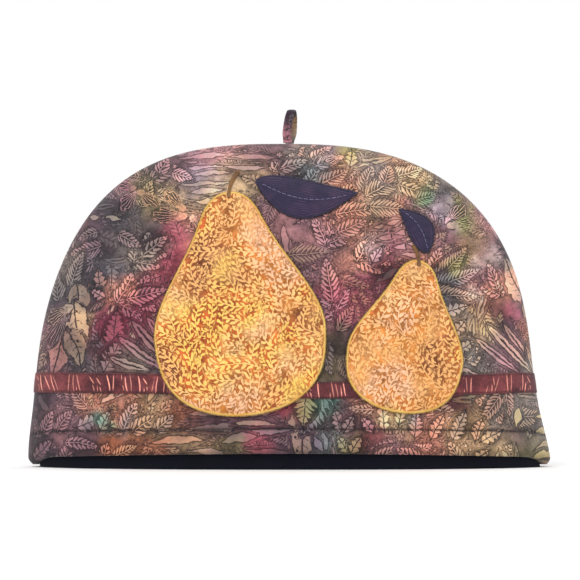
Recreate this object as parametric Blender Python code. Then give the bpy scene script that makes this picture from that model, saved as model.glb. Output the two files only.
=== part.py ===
"""A dome-shaped tea cosy, standing on its hem.

Two padded panels of printed cotton are sewn together along an arched seam and
lined with dark cotton. A trim band crosses the front, two pears and two leaves
are sewn on over it, and a loop of folded cloth stands on the crown. Metres, +Z
up, the front faces -Y, and the origin is on the floor under the middle of the hem.
"""

import math

import bmesh
import bpy
from mathutils import Vector

MM = 0.001

# The outside of the cosy.
WIDTH = 340 * MM
HEIGHT = 211 * MM
DEPTH = 112 * MM
CROWN_DRIFT = -5.5 * MM  # the crown sits off the middle of the hem
SWAY = -1.8 * MM  # and the sides swing a little on the way up

# The layers. A surface is named by its inset, measured in from the outside.
WALL = 7 * MM  # printed cotton and its wadding
LINING = 2 * MM
CLEAR = 0.35 * MM  # between the wall and the lining
SEAM_GAP = 0.3 * MM
SHEET = 1 * MM  # cloth that is sewn onto the front
UNDER = 0.35 * MM  # from a sewn-on sheet to what it lies on
NEXT_SHEET = UNDER + SHEET

# How full the outline and the section are. An exponent of 2 is round.
OUTLINE_RISE, OUTLINE_SIDE = 3.0, 2.7
SECTION_RISE, SECTION_SIDE, SECTION_ROUND = 2.2, 2.4, 0.57
WIDTH_FLARE, WIDTH_FLARE_HEIGHT = 0.04, 35 * MM
DEPTH_FLARE, DEPTH_FLARE_HEIGHT = 0.045, 25 * MM

# The humps of the padding: height, length across, length up, and their phases.
HUMPS = (
    (0.7 * MM, 31 * MM, 23 * MM, 0.7, 0.4),
    (0.4 * MM, 17 * MM, 37 * MM, -1.1, 1.6),
)

# The hem. Its printed edge arches up off the floor and shows the lining below it.
HEM_RISE = 10 * MM
HEM_ARCH = 3.5 * MM  # how much lower it runs at the sides
CORNER_DROP = 5 * MM  # how much further it turns down at the very corners
CORNER_TURN = 40  # the greater, the nearer the corners it turns down
HEM_CURL, HEM_CURL_HEIGHT = 3 * MM, 5 * MM
HEM_LINE = 18 * MM  # the row of stitches, above the printed edge
HEM_LINE_DEPTH, HEM_LINE_WIDTH = 1.2 * MM, 1.5 * MM

# The panels' rows of points: heights that follow the hem, then rows over the dome.
HEM_ROWS = [h * MM for h in (0, 2, 5, 15, 18, 21, 31, 43, 56, 70)]
LINING_ROWS = [h * MM for h in (0, 18, 31, 43, 56, 70)]
DOME_ROWS = 8
COLUMNS = 26
CROWDING = 0.55  # how strongly the lines of points crowd towards the seam
DOME_BASE = 70 * MM
ARCH_STEPS = 800

# The trim band: where its edges end at the sides, and how far they sag between.
BAND_LOW, BAND_HIGH = 48 * MM, 61 * MM
BAND_SAG_LOW, BAND_SAG_HIGH = 4 * MM, 6.5 * MM
BAND_SAG_AT, BAND_SAG_REACH = 0.12, 0.45  # shares of the half width
BAND_COLUMNS, BAND_END = 34, 0.975
CROSSING, CROSSING_ENDS = 13 * MM, 22 * MM  # a pear's lift, from the band's middle

# The pears and leaves: foot across and up, length, half width, tilt in degrees.
PEARS = {
    "pear_large": (-27 * MM, 34 * MM, 143 * MM, 54 * MM, -5),
    "pear_small": (67 * MM, 36 * MM, 97 * MM, 37 * MM, 9),
}
LEAVES = {
    "leaf_large": (-22 * MM, 184 * MM, 66 * MM, 13 * MM, 97),
    "leaf_small": (88 * MM, 137 * MM, 34 * MM, 8.5 * MM, -32),
}
PEAR_GRID, LEAF_GRID = (12, 16), (6, 12)
PEAR_BELLY, PEAR_NECK = 0.36, 0.44  # where it is widest, and the neck's share of that
LEAF_BEND = 0.13  # how far a leaf's middle bows sideways, as a share of its length

# The loop on the crown.
LOOP_AT = -1 * MM
LOOP_HEIGHT = 21.5 * MM
LOOP_WIDTH = 5.5 * MM
LOOP_HALF_GAP = 3.7 * MM  # to the middle of the cloth
LOOP_FOOT_GAP = 1.5 * MM
LOOP_EYE = 7 * MM  # its legs have parted this high up
LOOP_CLOTH = 1.6 * MM
LOOP_CROSSING = 0.5  # the front leg stands to the left of the back one
LOOP_TILT = 0.1
LOOP_GRID = (2, 26)

COLOURS = {
    "printed cotton": (0.13, 0.075, 0.085),
    "lining": (0.006, 0.007, 0.012),
    "trim": (0.16, 0.02, 0.03),
    "gold print": (0.75, 0.36, 0.08),
    "navy print": (0.018, 0.012, 0.035),
}
ROUGHNESS = 0.87


def clear_scene():
    for obj in list(bpy.data.objects):
        bpy.data.objects.remove(obj)


def material(name):
    made = bpy.data.materials.get(name)
    if made is None:
        made = bpy.data.materials.new(name)
        made.use_nodes = True
        shader = made.node_tree.nodes["Principled BSDF"]
        shader.inputs["Base Color"].default_value = (*COLOURS[name], 1)
        shader.inputs["Roughness"].default_value = ROUGHNESS
        shader.inputs["Metallic"].default_value = 0
    return made


def sheet_of_cloth(name, cloth, grid, place, parts):
    """A closed sheet. place(a, b, back) puts a point of its face or its back.

    a runs from -1 to 1 across the sheet, and b from 0 to 1 up it.
    """
    shell = bmesh.new()
    bmesh.ops.create_grid(shell, x_segments=grid[0], y_segments=grid[1], size=1)
    face = list(shell.verts)
    made = bmesh.ops.extrude_face_region(shell, geom=shell.faces[:], use_keep_orig=True)
    back = [v for v in made["geom"] if isinstance(v, bmesh.types.BMVert)]
    for side, points in ((False, face), (True, back)):
        for point in points:
            a, b = point.co.x, (point.co.y + 1) / 2
            point.co = place(a, b, side)
    bmesh.ops.recalc_face_normals(shell, faces=shell.faces[:])
    if shell.calc_volume(signed=True) < 0:
        bmesh.ops.reverse_faces(shell, faces=shell.faces[:])
    mesh = bpy.data.meshes.new(name)
    shell.to_mesh(mesh)
    shell.free()
    mesh.materials.append(material(cloth))
    mesh.shade_smooth()
    mesh.set_sharp_from_angle(angle=math.radians(50))
    obj = bpy.data.objects.new(name, mesh)
    parts.objects.link(obj)


def smooth_step(value):
    value = min(max(value, 0.0), 1.0)
    return value * value * (3 - 2 * value)


def crowded(share):
    """The same ends, with the steps growing shorter towards them."""
    turned = math.sin(abs(share) * math.pi / 2)
    return math.copysign((1 - CROWDING) * abs(share) + CROWDING * turned, share)


# The dome: one family of surfaces, each a given inset from the outside.


def half_width(z, inset):
    t = min(max(z / (HEIGHT - inset), 0.0), 1.0)
    flare = WIDTH_FLARE * math.exp(-((z / WIDTH_FLARE_HEIGHT) ** 2))
    full = (WIDTH / 2 - inset) * (1 - WIDTH_FLARE + flare)
    return full * (1 - t**OUTLINE_RISE) ** (1 / OUTLINE_SIDE)


def half_depth(x, z, inset):
    """From the seam's plane out to the surface."""
    t = min(max(z / (HEIGHT - inset), 0.0), 1.0)
    across = min(abs(x) / max(half_width(z, inset), 1e-6), 1.0)
    flare = DEPTH_FLARE * math.exp(-((z / DEPTH_FLARE_HEIGHT) ** 2))
    full = (DEPTH / 2 - inset) * (1 - DEPTH_FLARE + flare)
    rise = (1 - t**SECTION_RISE) ** SECTION_ROUND
    return full * rise * (1 - across**SECTION_SIDE) ** SECTION_ROUND


def humps(x, z):
    """What the padding adds to the depth. It is level at the seam and the floor."""
    across = min(abs(x) / max(half_width(z, 0), 1e-6), 1.0)
    fade = (1 - across**4) * smooth_step(z / DOME_BASE) * (1 - (z / HEIGHT) ** 6)
    total = 0.0
    for height, length_across, length_up, phase_across, phase_up in HUMPS:
        wave = math.sin(x / length_across + phase_across)
        total += height * wave * math.sin(z / length_up + phase_up)
    return fade * total


def drift(z):
    """How far the cosy's middle stands to the side at this height."""
    t = z / HEIGHT
    return CROWN_DRIFT * t + SWAY * math.sin(2 * math.pi * t)


def dome_point(x, z, inset, side, extra=0.0):
    """x is measured from the cosy's middle; side is -1 in front and 1 behind."""
    depth = half_depth(x, z, inset) + extra
    return Vector((x + drift(z), side * (depth + SEAM_GAP / 2), z))


def arch(inset):
    """The outline above the dome's base, with the length run to each point."""
    top = HEIGHT - inset
    quarter = []
    for i in range(ARCH_STEPS):
        z = DOME_BASE + (top - DOME_BASE) * math.sin(i / ARCH_STEPS * math.pi / 2)
        quarter.append(Vector((half_width(z, inset), z)))
    points = quarter + [Vector((0, top))]
    points += [Vector((-p.x, p.y)) for p in reversed(quarter)]
    run = [0.0]
    for before, after in zip(points, points[1:]):
        run.append(run[-1] + (after - before).length)
    return points, run


def along(line, share):
    """The point this share of the way along a measured line."""
    points, run = line
    target = min(max(share, 0.0), 1.0) * run[-1]
    low, high = 0, len(run) - 1
    while high - low > 1:
        middle = (low + high) // 2
        if run[middle] <= target:
            low = middle
        else:
            high = middle
    part = (target - run[low]) / (run[high] - run[low])
    return points[low].lerp(points[high], part)


def disc_point(a, b):
    """A point of the square of half side 1, moved into the round disc of radius 1."""
    return a * math.sqrt(1 - b * b / 2), b * math.sqrt(1 - a * a / 2)


def over_the_dome(a, b, line):
    """(x, z) where rows that start level close onto the arch."""
    p, q = disc_point(a, b)
    radius = math.hypot(p, q)
    edge = along(line, math.atan2(q, p) / math.pi)
    return radius * edge.x, DOME_BASE + radius * (edge.y - DOME_BASE)


# The panels.


def printed_edge(a):
    """How high the printed cotton's edge stands, this share of the way out."""
    return HEM_RISE - HEM_ARCH * a * a - CORNER_DROP * abs(a) ** CORNER_TURN


def level_at(a, height):
    """Heights that are measured from the printed edge, as heights from the floor."""
    return height + printed_edge(a) * (1 - height / DOME_BASE)


def hem_curl(height):
    return HEM_CURL * max(1 - height / HEM_CURL_HEIGHT, 0.0) ** 2


def hem_line(height, depth):
    """The stitched trough. It runs out where the panel thins to its seam."""
    offset = (height - HEM_LINE) / HEM_LINE_WIDTH
    return -HEM_LINE_DEPTH * math.exp(-offset * offset) * min(1, depth / WALL)


def printed_panel(name, side, parts):
    lines = {False: arch(0), True: arch(WALL)}
    last = len(HEM_ROWS) - 1
    rows = last + DOME_ROWS

    def place(a, b, back):
        row = round(b * rows)
        a = crowded(a)
        inset = WALL if back else 0.0
        if row > last:
            x, z = over_the_dome(a, crowded((row - last) / DOME_ROWS), lines[back])
            return dome_point(x, z, inset, side, 0.0 if back else humps(x, z))
        height = HEM_ROWS[row]
        z = level_at(a, height)
        if back:
            return dome_point(a * half_width(z, inset), z, inset, side)
        inset = hem_curl(height)
        x = a * half_width(z, inset)
        depth = half_depth(x, z, inset)
        return dome_point(x, z, inset, side, humps(x, z) + hem_line(height, depth))

    sheet_of_cloth(name, "printed cotton", (COLUMNS, rows), place, parts)


def lining_panel(name, side, parts):
    insets = {False: WALL + CLEAR, True: WALL + CLEAR + LINING}
    lines = {back: arch(inset) for back, inset in insets.items()}
    last = len(LINING_ROWS) - 1
    rows = last + DOME_ROWS

    def place(a, b, back):
        row = round(b * rows)
        a = crowded(a)
        if row > last:
            x, z = over_the_dome(a, crowded((row - last) / DOME_ROWS), lines[back])
        else:
            z = LINING_ROWS[row]
            x = a * half_width(z, insets[back])
        return dome_point(x, z, insets[back], side)

    sheet_of_cloth(name, "lining", (COLUMNS, rows), place, parts)


# What is sewn onto the front.


def sheet_inset(back, lift=0.0):
    return -(UNDER + lift) if back else -(UNDER + SHEET + lift)


def band_level(a, share):
    """The height of the band at this share of the way out, and of the way up it."""
    offset = (a - BAND_SAG_AT) / BAND_SAG_REACH
    sag = math.exp(-offset * offset)
    low = BAND_LOW - BAND_SAG_LOW * sag
    high = BAND_HIGH - BAND_SAG_HIGH * sag
    return low + share * (high - low)


def trim_band(parts):
    def place(a, b, back):
        a = crowded(a) * BAND_END
        inset = sheet_inset(back)
        z = band_level(a, b)
        x = a * half_width(z, inset)
        return dome_point(x, z, inset, -1, humps(x, z))

    sheet_of_cloth("trim_band", "trim", (BAND_COLUMNS, 2), place, parts)


def lift_over_band(x, z):
    distance = abs(z - band_level(x / half_width(z, 0), 0.5))
    rest = (CROSSING_ENDS - distance) / (CROSSING_ENDS - CROSSING)
    return NEXT_SHEET * smooth_step(rest)


def pear_width(s):
    """Half the width at this share of the length, as a share of the widest."""
    round_off = math.sqrt(max(1 - (2 * s - 1) ** 4, 0.0))
    slimming = smooth_step((s - PEAR_BELLY) / (0.9 - PEAR_BELLY))
    return round_off * (1 - (1 - PEAR_NECK) * slimming)


def leaf_width(s):
    """Half the width at this share of the length, as a share of the widest."""
    return math.sin(math.pi * s**0.8) ** 0.9 if 0 < s < 1 else 0.0


def sewn_shape(name, cloth, row, grid, width_at, bend, parts):
    """A shape about its own upright axis, laid onto the front."""
    foot_x, foot_z, length, half, tilt = row
    turn = math.radians(tilt)
    up = Vector((math.sin(turn), math.cos(turn)))
    across = Vector((up.y, -up.x))

    def place(a, b, back):
        p, q = disc_point(a, 2 * b - 1)
        s = (q + 1) / 2
        share = p / math.sqrt(max(1 - q * q, 1e-9))
        bow = bend * length * math.sin(math.pi * s)
        flat = up * (s * length) + across * (share * half * width_at(s) + bow)
        z = foot_z + flat.y
        x = foot_x + flat.x - drift(z)
        inset = sheet_inset(back, lift_over_band(x, z))
        return dome_point(x, z, inset, -1, humps(x, z))

    sheet_of_cloth(name, cloth, grid, place, parts)


# The loop.


def loop_path(b):
    """(y, z) along the middle of the cloth, from the front foot to the back one."""
    turn = math.pi * b
    z = LOOP_HEIGHT * math.sin(turn) ** 0.8
    parted = smooth_step(z / LOOP_EYE)
    gap = LOOP_FOOT_GAP + (LOOP_HALF_GAP - LOOP_FOOT_GAP) * parted
    return Vector((-gap * math.cos(turn), z))


def crown_loop(parts):
    foot = HEIGHT + UNDER

    def place(a, b, back):
        step = 1e-3
        before = loop_path(max(b - step, 0))
        after = loop_path(min(b + step, 1))
        run = (after - before).normalized()
        out = Vector((-run.y, run.x))
        if b in (0, 1):
            out = Vector((-1 if b == 0 else 1, 0))
        middle = loop_path(b)
        point = middle + out * (LOOP_CLOTH / 2) * (-1 if back else 1)
        x = a * LOOP_WIDTH / 2 + LOOP_CROSSING * middle.x + LOOP_TILT * point.y
        return Vector((LOOP_AT + x, point.x, foot + point.y))

    sheet_of_cloth("crown_loop", "printed cotton", LOOP_GRID, place, parts)


def tea_cosy():
    clear_scene()
    parts = bpy.data.collections.new("tea cosy")
    bpy.context.scene.collection.children.link(parts)
    for name, side in (("front", -1), ("back", 1)):
        printed_panel(f"{name}_panel", side, parts)
        lining_panel(f"{name}_lining", side, parts)
    trim_band(parts)
    for name, row in PEARS.items():
        sewn_shape(name, "gold print", row, PEAR_GRID, pear_width, 0, parts)
    for name, row in LEAVES.items():
        sewn_shape(name, "navy print", row, LEAF_GRID, leaf_width, LEAF_BEND, parts)
    crown_loop(parts)


tea_cosy()
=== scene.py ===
"""The looks of a padded tea cosy in batik cotton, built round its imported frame.

Every surface is a grid of points on the cosy's own dome, worked out in numpy from the
named sizes below. The printed cottons are drawn by their nodes, from what each point
carries: the dye, and where it lies in the nearest printed figure.
"""

import math

import bpy
import numpy as np
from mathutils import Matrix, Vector


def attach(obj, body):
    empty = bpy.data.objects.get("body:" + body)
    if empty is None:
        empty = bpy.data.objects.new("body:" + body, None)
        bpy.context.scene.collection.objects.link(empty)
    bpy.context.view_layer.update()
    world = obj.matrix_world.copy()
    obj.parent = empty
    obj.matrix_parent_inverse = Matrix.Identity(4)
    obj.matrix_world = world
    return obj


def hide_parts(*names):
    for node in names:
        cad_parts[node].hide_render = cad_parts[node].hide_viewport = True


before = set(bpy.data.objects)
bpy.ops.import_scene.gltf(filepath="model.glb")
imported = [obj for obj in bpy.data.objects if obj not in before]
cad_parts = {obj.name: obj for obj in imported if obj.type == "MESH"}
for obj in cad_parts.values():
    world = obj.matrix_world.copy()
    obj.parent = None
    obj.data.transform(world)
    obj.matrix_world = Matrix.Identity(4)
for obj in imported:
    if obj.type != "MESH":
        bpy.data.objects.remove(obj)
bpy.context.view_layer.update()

MM = 0.001
FRONT, BACK = -1, 1

# The dome, as the solids have it.
WIDTH, HEIGHT, DEPTH = 340 * MM, 211 * MM, 112 * MM
CROWN_DRIFT, SWAY = -5.5 * MM, -1.8 * MM
WALL, LINING, CLEAR = 7 * MM, 2 * MM, 0.35 * MM
SEAM_GAP = 0.3 * MM
SHEET, UNDER = 1 * MM, 0.35 * MM
NEXT_SHEET = UNDER + SHEET
OUTLINE_RISE, OUTLINE_SIDE = 3.0, 2.7
SECTION_RISE, SECTION_SIDE, SECTION_ROUND = 2.2, 2.4, 0.57
WIDTH_FLARE, WIDTH_FLARE_HEIGHT = 0.04, 35 * MM
DEPTH_FLARE, DEPTH_FLARE_HEIGHT = 0.045, 25 * MM
# Each hump: height, length across and up, phase across and up.
HUMPS = (
    (0.7 * MM, 31 * MM, 23 * MM, 0.7, 0.4),
    (0.4 * MM, 17 * MM, 37 * MM, -1.1, 1.6),
)
HEM_RISE, HEM_ARCH, CORNER_DROP, CORNER_TURN = 10 * MM, 3.5 * MM, 5 * MM, 40
HEM_CURL, HEM_CURL_HEIGHT = 3 * MM, 5 * MM
HEM_LINE, HEM_LINE_DEPTH, HEM_LINE_WIDTH = 18 * MM, 1.2 * MM, 1.5 * MM
DOME_BASE = 70 * MM
CROWDING = 0.55
BAND_LOW, BAND_HIGH, BAND_END = 48 * MM, 61 * MM, 0.9993
BAND_SAG_LOW, BAND_SAG_HIGH, BAND_SAG_AT, BAND_SAG_REACH = 4 * MM, 6.5 * MM, 0.12, 0.45
CROSSING, CROSSING_ENDS = 13 * MM, 22 * MM
# Each sewn shape: foot (x, z), length, half width, tilt to the right in degrees.
PEARS = {
    "pear_large": (-27 * MM, 34 * MM, 143 * MM, 54 * MM, -5),
    "pear_small": (67 * MM, 36 * MM, 97 * MM, 37 * MM, 9),
}
LEAVES = {
    "leaf_large": (-22 * MM, 184 * MM, 66 * MM, 13 * MM, 97),
    "leaf_small": (88 * MM, 137 * MM, 34 * MM, 8.5 * MM, -32),
}
PEAR_BELLY, PEAR_NECK, PEAR_NECK_AT = 0.36, 0.44, 0.9
LEAF_BEND = 0.13
LOOP_AT, LOOP_HEIGHT, LOOP_WIDTH = -1 * MM, 21.5 * MM, 5.5 * MM
LOOP_HALF_GAP, LOOP_FOOT_GAP, LOOP_EYE = 3.7 * MM, 1.5 * MM, 7 * MM
LOOP_CLOTH, LOOP_CROSSING, LOOP_TILT = 1.6 * MM, 0.5, 0.1

# The camera stands in front of the cosy, at the distance that gives the photograph's view.
CAMERA_DISTANCE, CAMERA_HEIGHT, AIM_HEIGHT = 1250 * MM, 50 * MM, 115 * MM
FRAME_WIDTH, SENSOR = 378.5 * MM, 36.0
MM_PER_PIXEL, PIXEL_MIDDLE, PIXEL_FLOOR = 0.6526, 289.5, 466

# How fine each grid is. The back of a sheet is four times as coarse as its face.
FINE = 4
COARSE = (slice(None, None, FINE), slice(None, None, FINE))
COLUMNS, HEM_ROWS, DOME_ROWS = 360, 76, 168
BAND_GRID = (960, 24)
PEAR_GRIDS = {"pear_large": (232, 296), "pear_small": (160, 208)}
LEAF_GRID = (48, 160)
LINE_POINTS, ARCH_POINTS = 900, 800


# Numbers on arrays.


def smooth_step(value):
    value = np.clip(value, 0, 1)
    return value * value * (3 - 2 * value)


def crowded(share):
    """The same ends, with the steps growing shorter towards them."""
    turned = np.sin(np.abs(share) * math.pi / 2)
    return np.copysign((1 - CROWDING) * np.abs(share) + CROWDING * turned, share)


def bell(distance, width):
    return np.exp(-((distance / width) ** 2))


def unit(vectors):
    length = np.linalg.norm(vectors, axis=-1, keepdims=True)
    return vectors / np.maximum(length, 1e-12)


def run_along(line):
    """The length of a line of points up to each of them."""
    steps = np.linalg.norm(np.diff(line, axis=0), axis=1)
    return np.concatenate([[0], np.cumsum(steps)])


def points_at(at, run, line):
    """The points of a line where its run has these values."""
    return np.stack([np.interp(at, run, column) for column in np.transpose(line)], axis=-1)


def turned(across, up, angle):
    """Along a direction and to its left. Angle 0 is to the right, and 90 is up."""
    turn = math.radians(angle)
    along = across * math.cos(turn) + up * math.sin(turn)
    return along, up * math.cos(turn) - across * math.sin(turn)


def uneven_grid(across, up, spacing, random, share=0.45):
    """Points this far apart, each moved at random by up to a share of that."""
    for u in np.arange(across[0], across[1] + spacing, spacing):
        for v in np.arange(up[0], up[1] + spacing, spacing):
            yield np.array([u, v]) + random.uniform(-share, share, 2) * spacing


LATTICE, LATTICE_FROM = 64, (7.3, 3.1)


def one_cloud(u, v, size, seed):
    """Smooth noise from -1 to 1, its patches this far apart."""
    lattice = np.random.default_rng(seed).uniform(-1, 1, (LATTICE, LATTICE))
    x, y = u / size + LATTICE_FROM[0], v / size + LATTICE_FROM[1]
    i, j = np.floor(x).astype(int), np.floor(y).astype(int)
    across, up = smooth_step(x - i), smooth_step(y - j)
    i, j = i % (LATTICE - 1), j % (LATTICE - 1)
    low = lattice[i, j] * (1 - across) + lattice[i + 1, j] * across
    high = lattice[i, j + 1] * (1 - across) + lattice[i + 1, j + 1] * across
    return low * (1 - up) + high * up


def clouds(u, v, size, seed, layers=3):
    """Noise with finer and fainter noise on it."""
    total = sum(one_cloud(u, v, size / 2**n, seed + n) / 2**n for n in range(layers))
    return total / sum(0.5**n for n in range(layers))


def patches(u, v, seed, base, strength, size):
    """Shares from 0 to 1 as a column, high in some places of this size and low in others."""
    return smooth_step(base + strength * clouds(u, v, size, seed))[:, None]


def linear(hex_colour):
    """A colour written as on the web, in the linear numbers that nodes take."""
    code = hex_colour.lstrip("#")
    channels = np.array([int(code[i : i + 2], 16) / 255 for i in (0, 2, 4)])
    return np.where(channels <= 0.04045, channels / 12.92, ((channels + 0.055) / 1.055) ** 2.4)


# The dome: one family of surfaces, each a given inset from the outside.


def half_width(z, inset=0):
    t = np.clip(z / (HEIGHT - inset), 0, 1)
    flare = WIDTH_FLARE * bell(z, WIDTH_FLARE_HEIGHT)
    full = (WIDTH / 2 - inset) * (1 - WIDTH_FLARE + flare)
    return full * (1 - t**OUTLINE_RISE) ** (1 / OUTLINE_SIDE)


def share_across(x, z, inset=0):
    return np.minimum(np.abs(x) / np.maximum(half_width(z, inset), 1e-6), 1)


def half_depth(x, z, inset=0):
    """From the seam's plane out to the surface. x is measured from the middle."""
    t = np.clip(z / (HEIGHT - inset), 0, 1)
    flare = DEPTH_FLARE * bell(z, DEPTH_FLARE_HEIGHT)
    full = (DEPTH / 2 - inset) * (1 - DEPTH_FLARE + flare)
    rise = (1 - t**SECTION_RISE) ** SECTION_ROUND
    side = np.maximum(1 - share_across(x, z, inset) ** SECTION_SIDE, 0)
    return full * rise * side**SECTION_ROUND


def drift(z):
    """How far the cosy's middle stands to the side at this height."""
    t = z / HEIGHT
    return CROWN_DRIFT * t + SWAY * np.sin(2 * math.pi * t)


def humps(x, z):
    fade = 1 - share_across(x, z) ** 4
    fade = fade * smooth_step(z / DOME_BASE) * (1 - (z / HEIGHT) ** 6)
    total = 0
    for height, length_across, length_up, phase_across, phase_up in HUMPS:
        wave = np.sin(x / length_across + phase_across)
        total = total + height * wave * np.sin(z / length_up + phase_up)
    return fade * total


def dome_points(x, z, inset, side, extra=0.0):
    y = side * (half_depth(x, z, inset) + extra + SEAM_GAP / 2)
    return np.stack([x + drift(z), y, z + 0 * x], axis=-1)


def arch(inset):
    """The outline above the dome's base, with the length run to each point."""
    turn = np.linspace(0, math.pi / 2, ARCH_POINTS)
    z = DOME_BASE + (HEIGHT - inset - DOME_BASE) * np.sin(turn)
    x = half_width(z, inset)
    x[-1] = 0
    x, z = np.concatenate([x, -x[-2::-1]]), np.concatenate([z, z[-2::-1]])
    return x, z, run_along(np.stack([x, z], axis=-1))


def disc_point(a, b):
    """Points of the square of half side 1, moved into the round disc of radius 1."""
    return a * np.sqrt(1 - b * b / 2), b * np.sqrt(1 - a * a / 2)


def over_the_dome(a, b, inset):
    """(x, z) where rows that start level close onto the arch."""
    p, q = disc_point(a, b)
    radius = np.hypot(p, q)
    x, z, run = arch(inset)
    at = np.arctan2(q, p) / math.pi * run[-1]
    edge_x, edge_z = np.interp(at, run, x), np.interp(at, run, z)
    return radius * edge_x, DOME_BASE + radius * (edge_z - DOME_BASE)


def printed_edge(a):
    """How high the printed cotton's edge stands. a is the share of the way out."""
    return HEM_RISE - HEM_ARCH * a * a - CORNER_DROP * np.abs(a) ** CORNER_TURN


def level_at(a, height):
    """Heights that are measured from the printed edge, as heights from the floor."""
    return height + printed_edge(a) * (1 - height / DOME_BASE)


def band_level(a, share):
    """The height of the band, this share of the way up it."""
    sag = bell(a - BAND_SAG_AT, BAND_SAG_REACH)
    low = BAND_LOW - BAND_SAG_LOW * sag
    return low + share * (BAND_HIGH - BAND_SAG_HIGH * sag - low)


def band_level_over(x, z, share):
    return band_level(x / np.maximum(half_width(z), 1e-6), share)


def height_of(x, z):
    """The height above the printed edge."""
    edge = printed_edge(share_across(x, z))
    return (z - edge) / (1 - edge / DOME_BASE)


def along_cloth(x, z, side=FRONT):
    """Where a point lies on the flat cloth, in millimetres across and up."""
    middle = half_depth(0 * x, z)
    across = np.hypot(x, middle - half_depth(x, z))
    up = np.hypot(z, half_depth(0 * x, 0 * z) - middle)
    return np.copysign(across, -side * x) / MM, up / MM


def from_photo(px, py):
    """Where the cloth seen at this pixel of the photograph lies, in millimetres."""
    x = np.array((px - PIXEL_MIDDLE) * MM_PER_PIXEL * MM)
    z = np.array((PIXEL_FLOOR - py) * MM_PER_PIXEL * MM)
    nearer = 1 - half_depth(x - drift(z), z) / CAMERA_DISTANCE
    z = CAMERA_HEIGHT + (z - CAMERA_HEIGHT) * nearer
    u, v = along_cloth(x * nearer - drift(z), z)
    return float(u), float(v)


# Meshes.


def mesh_object(name, points, faces):
    mesh = bpy.data.meshes.new(name)
    mesh.from_pydata(np.asarray(points).tolist(), [], faces)
    mesh.shade_smooth()
    obj = bpy.data.objects.new(name, mesh)
    bpy.context.scene.collection.objects.link(obj)
    return obj


def grid_faces(rows, columns, start, flipped):
    """The quads of a grid of (rows + 1) by (columns + 1) points."""
    j, i = np.mgrid[0:rows, 0:columns]
    low = start + j * (columns + 1) + i
    quads = np.stack([low, low + 1, low + columns + 2, low + columns + 1], axis=-1)
    quads = quads.reshape(-1, 4)
    return (quads[:, ::-1] if flipped else quads).tolist()


def rim_of(rows, columns):
    """The index of each point round a grid, anticlockwise from its first."""
    bottom = [(0, i) for i in range(columns)]
    right = [(j, columns) for j in range(rows)]
    top = [(rows, i) for i in range(columns, 0, -1)]
    left = [(j, 0) for j in range(rows, 0, -1)]
    return [j * (columns + 1) + i for j, i in bottom + right + top + left]


def closed_sheet(name, face, back, flipped=False):
    """A closed sheet from its face's grid and its back's, which may be coarser."""
    rows, columns = face.shape[0] - 1, face.shape[1] - 1
    back_rows, back_columns = back.shape[0] - 1, back.shape[1] - 1
    step = columns // back_columns
    start = face.shape[0] * face.shape[1]
    faces = grid_faces(rows, columns, 0, flipped)
    faces += grid_faces(back_rows, back_columns, start, not flipped)
    rim = rim_of(rows, columns)
    inner = [start + index for index in rim_of(back_rows, back_columns)]
    for k, low in enumerate(inner):
        run = [rim[(k * step + n) % len(rim)] for n in range(step + 1)]
        strip = run[::-1] + [low, inner[(k + 1) % len(inner)]]
        faces.append(strip[::-1] if flipped else strip)
    points = np.concatenate([face.reshape(-1, 3), back.reshape(-1, 3)])
    return mesh_object(name, points, faces)


def face_and_back(*grids):
    """What a closed sheet's points carry, from what its face's points do."""
    return [np.concatenate([grid.ravel(), grid[COARSE].ravel()]) for grid in grids]


def tube_faces(rings, sides):
    """The quads between rings of points, and a face over each end."""
    faces = []
    for k in range(rings - 1):
        for n in range(sides):
            m = (n + 1) % sides
            low, high = k * sides, (k + 1) * sides
            faces.append([low + n, low + m, high + m, high + n])
    faces.append(list(range(sides))[::-1])
    faces.append([(rings - 1) * sides + n for n in range(sides)])
    return faces


def carry(obj, name, *values):
    """Gives each point of a mesh three numbers, which its material can read."""
    numbers = np.stack(values, axis=-1) if len(values) > 1 else values[0]
    layer = obj.data.attributes.new(name, "FLOAT_VECTOR", "POINT")
    layer.data.foreach_set("vector", np.ascontiguousarray(numbers, np.float32).ravel())


def finish_piece(obj, nodes, material):
    obj.data.materials.append(material)
    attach(obj, "root")
    if nodes:
        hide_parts(*nodes)


# The printed figures. A point of the cloth belongs to the last figure laid over it, and
# carries its place there: leaflets run along the stem, millimetres to its side, and the
# figure's half width there; then the figure's kind, the millimetres to a leaflet, and
# the millimetres to the end of the figure's own ground.

# Each kind: the millimetres to a leaflet, how much leaflets slant and how much more they do
# at their tips, and the two powers that shape its outline along its length.
KINDS = {
    "plain": (3, 0, 0, 1.1, 0.9),
    "fern": (3.5, 0.85, 0.5, 0.62, 0.75),
    "ribbed": (4.2, 0.9, 0.25, 0.78, 0.85),
    "slotted": (1, 0, 0, 1.15, 0.55),
    "winged": (2, 0, 0, 1, 1),
    "spotted": (6, 0.8, 0.25, 0.78, 0.85),
    "stroke": (3, 0, 0, 1, 0.3),
    "vine": (4.3, 0.75, 0.25, 1, 0.3),
}
CODES = {kind: code for code, kind in enumerate(KINDS)}
SLANT_AT_STEM = 0.75  # how much of its slant a leaflet has at the stem
BATIK_GROUND = 1.9  # mm of its own ground round each figure
FAR = 50.0
# A spray: pairs of fronds, from where and over how much of its stem, their first angle to it
# and how much less that grows, their length at its foot and how much less that grows
FRONDS, FROND_FROM, FROND_OVER = 2, 0.12, 0.62
FROND_ANGLE, FROND_CLOSING, FROND_BEND = 52, 14, 0.05
FROND_LENGTH, FROND_SHORTENING = 0.62, 0.38
END_FROM = 0.3
WING_EDGE, WING_CUT, WING_SCALLOP, WING_SCALLOPS = 2.6, 0.75, 0.05, 2.5


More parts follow.
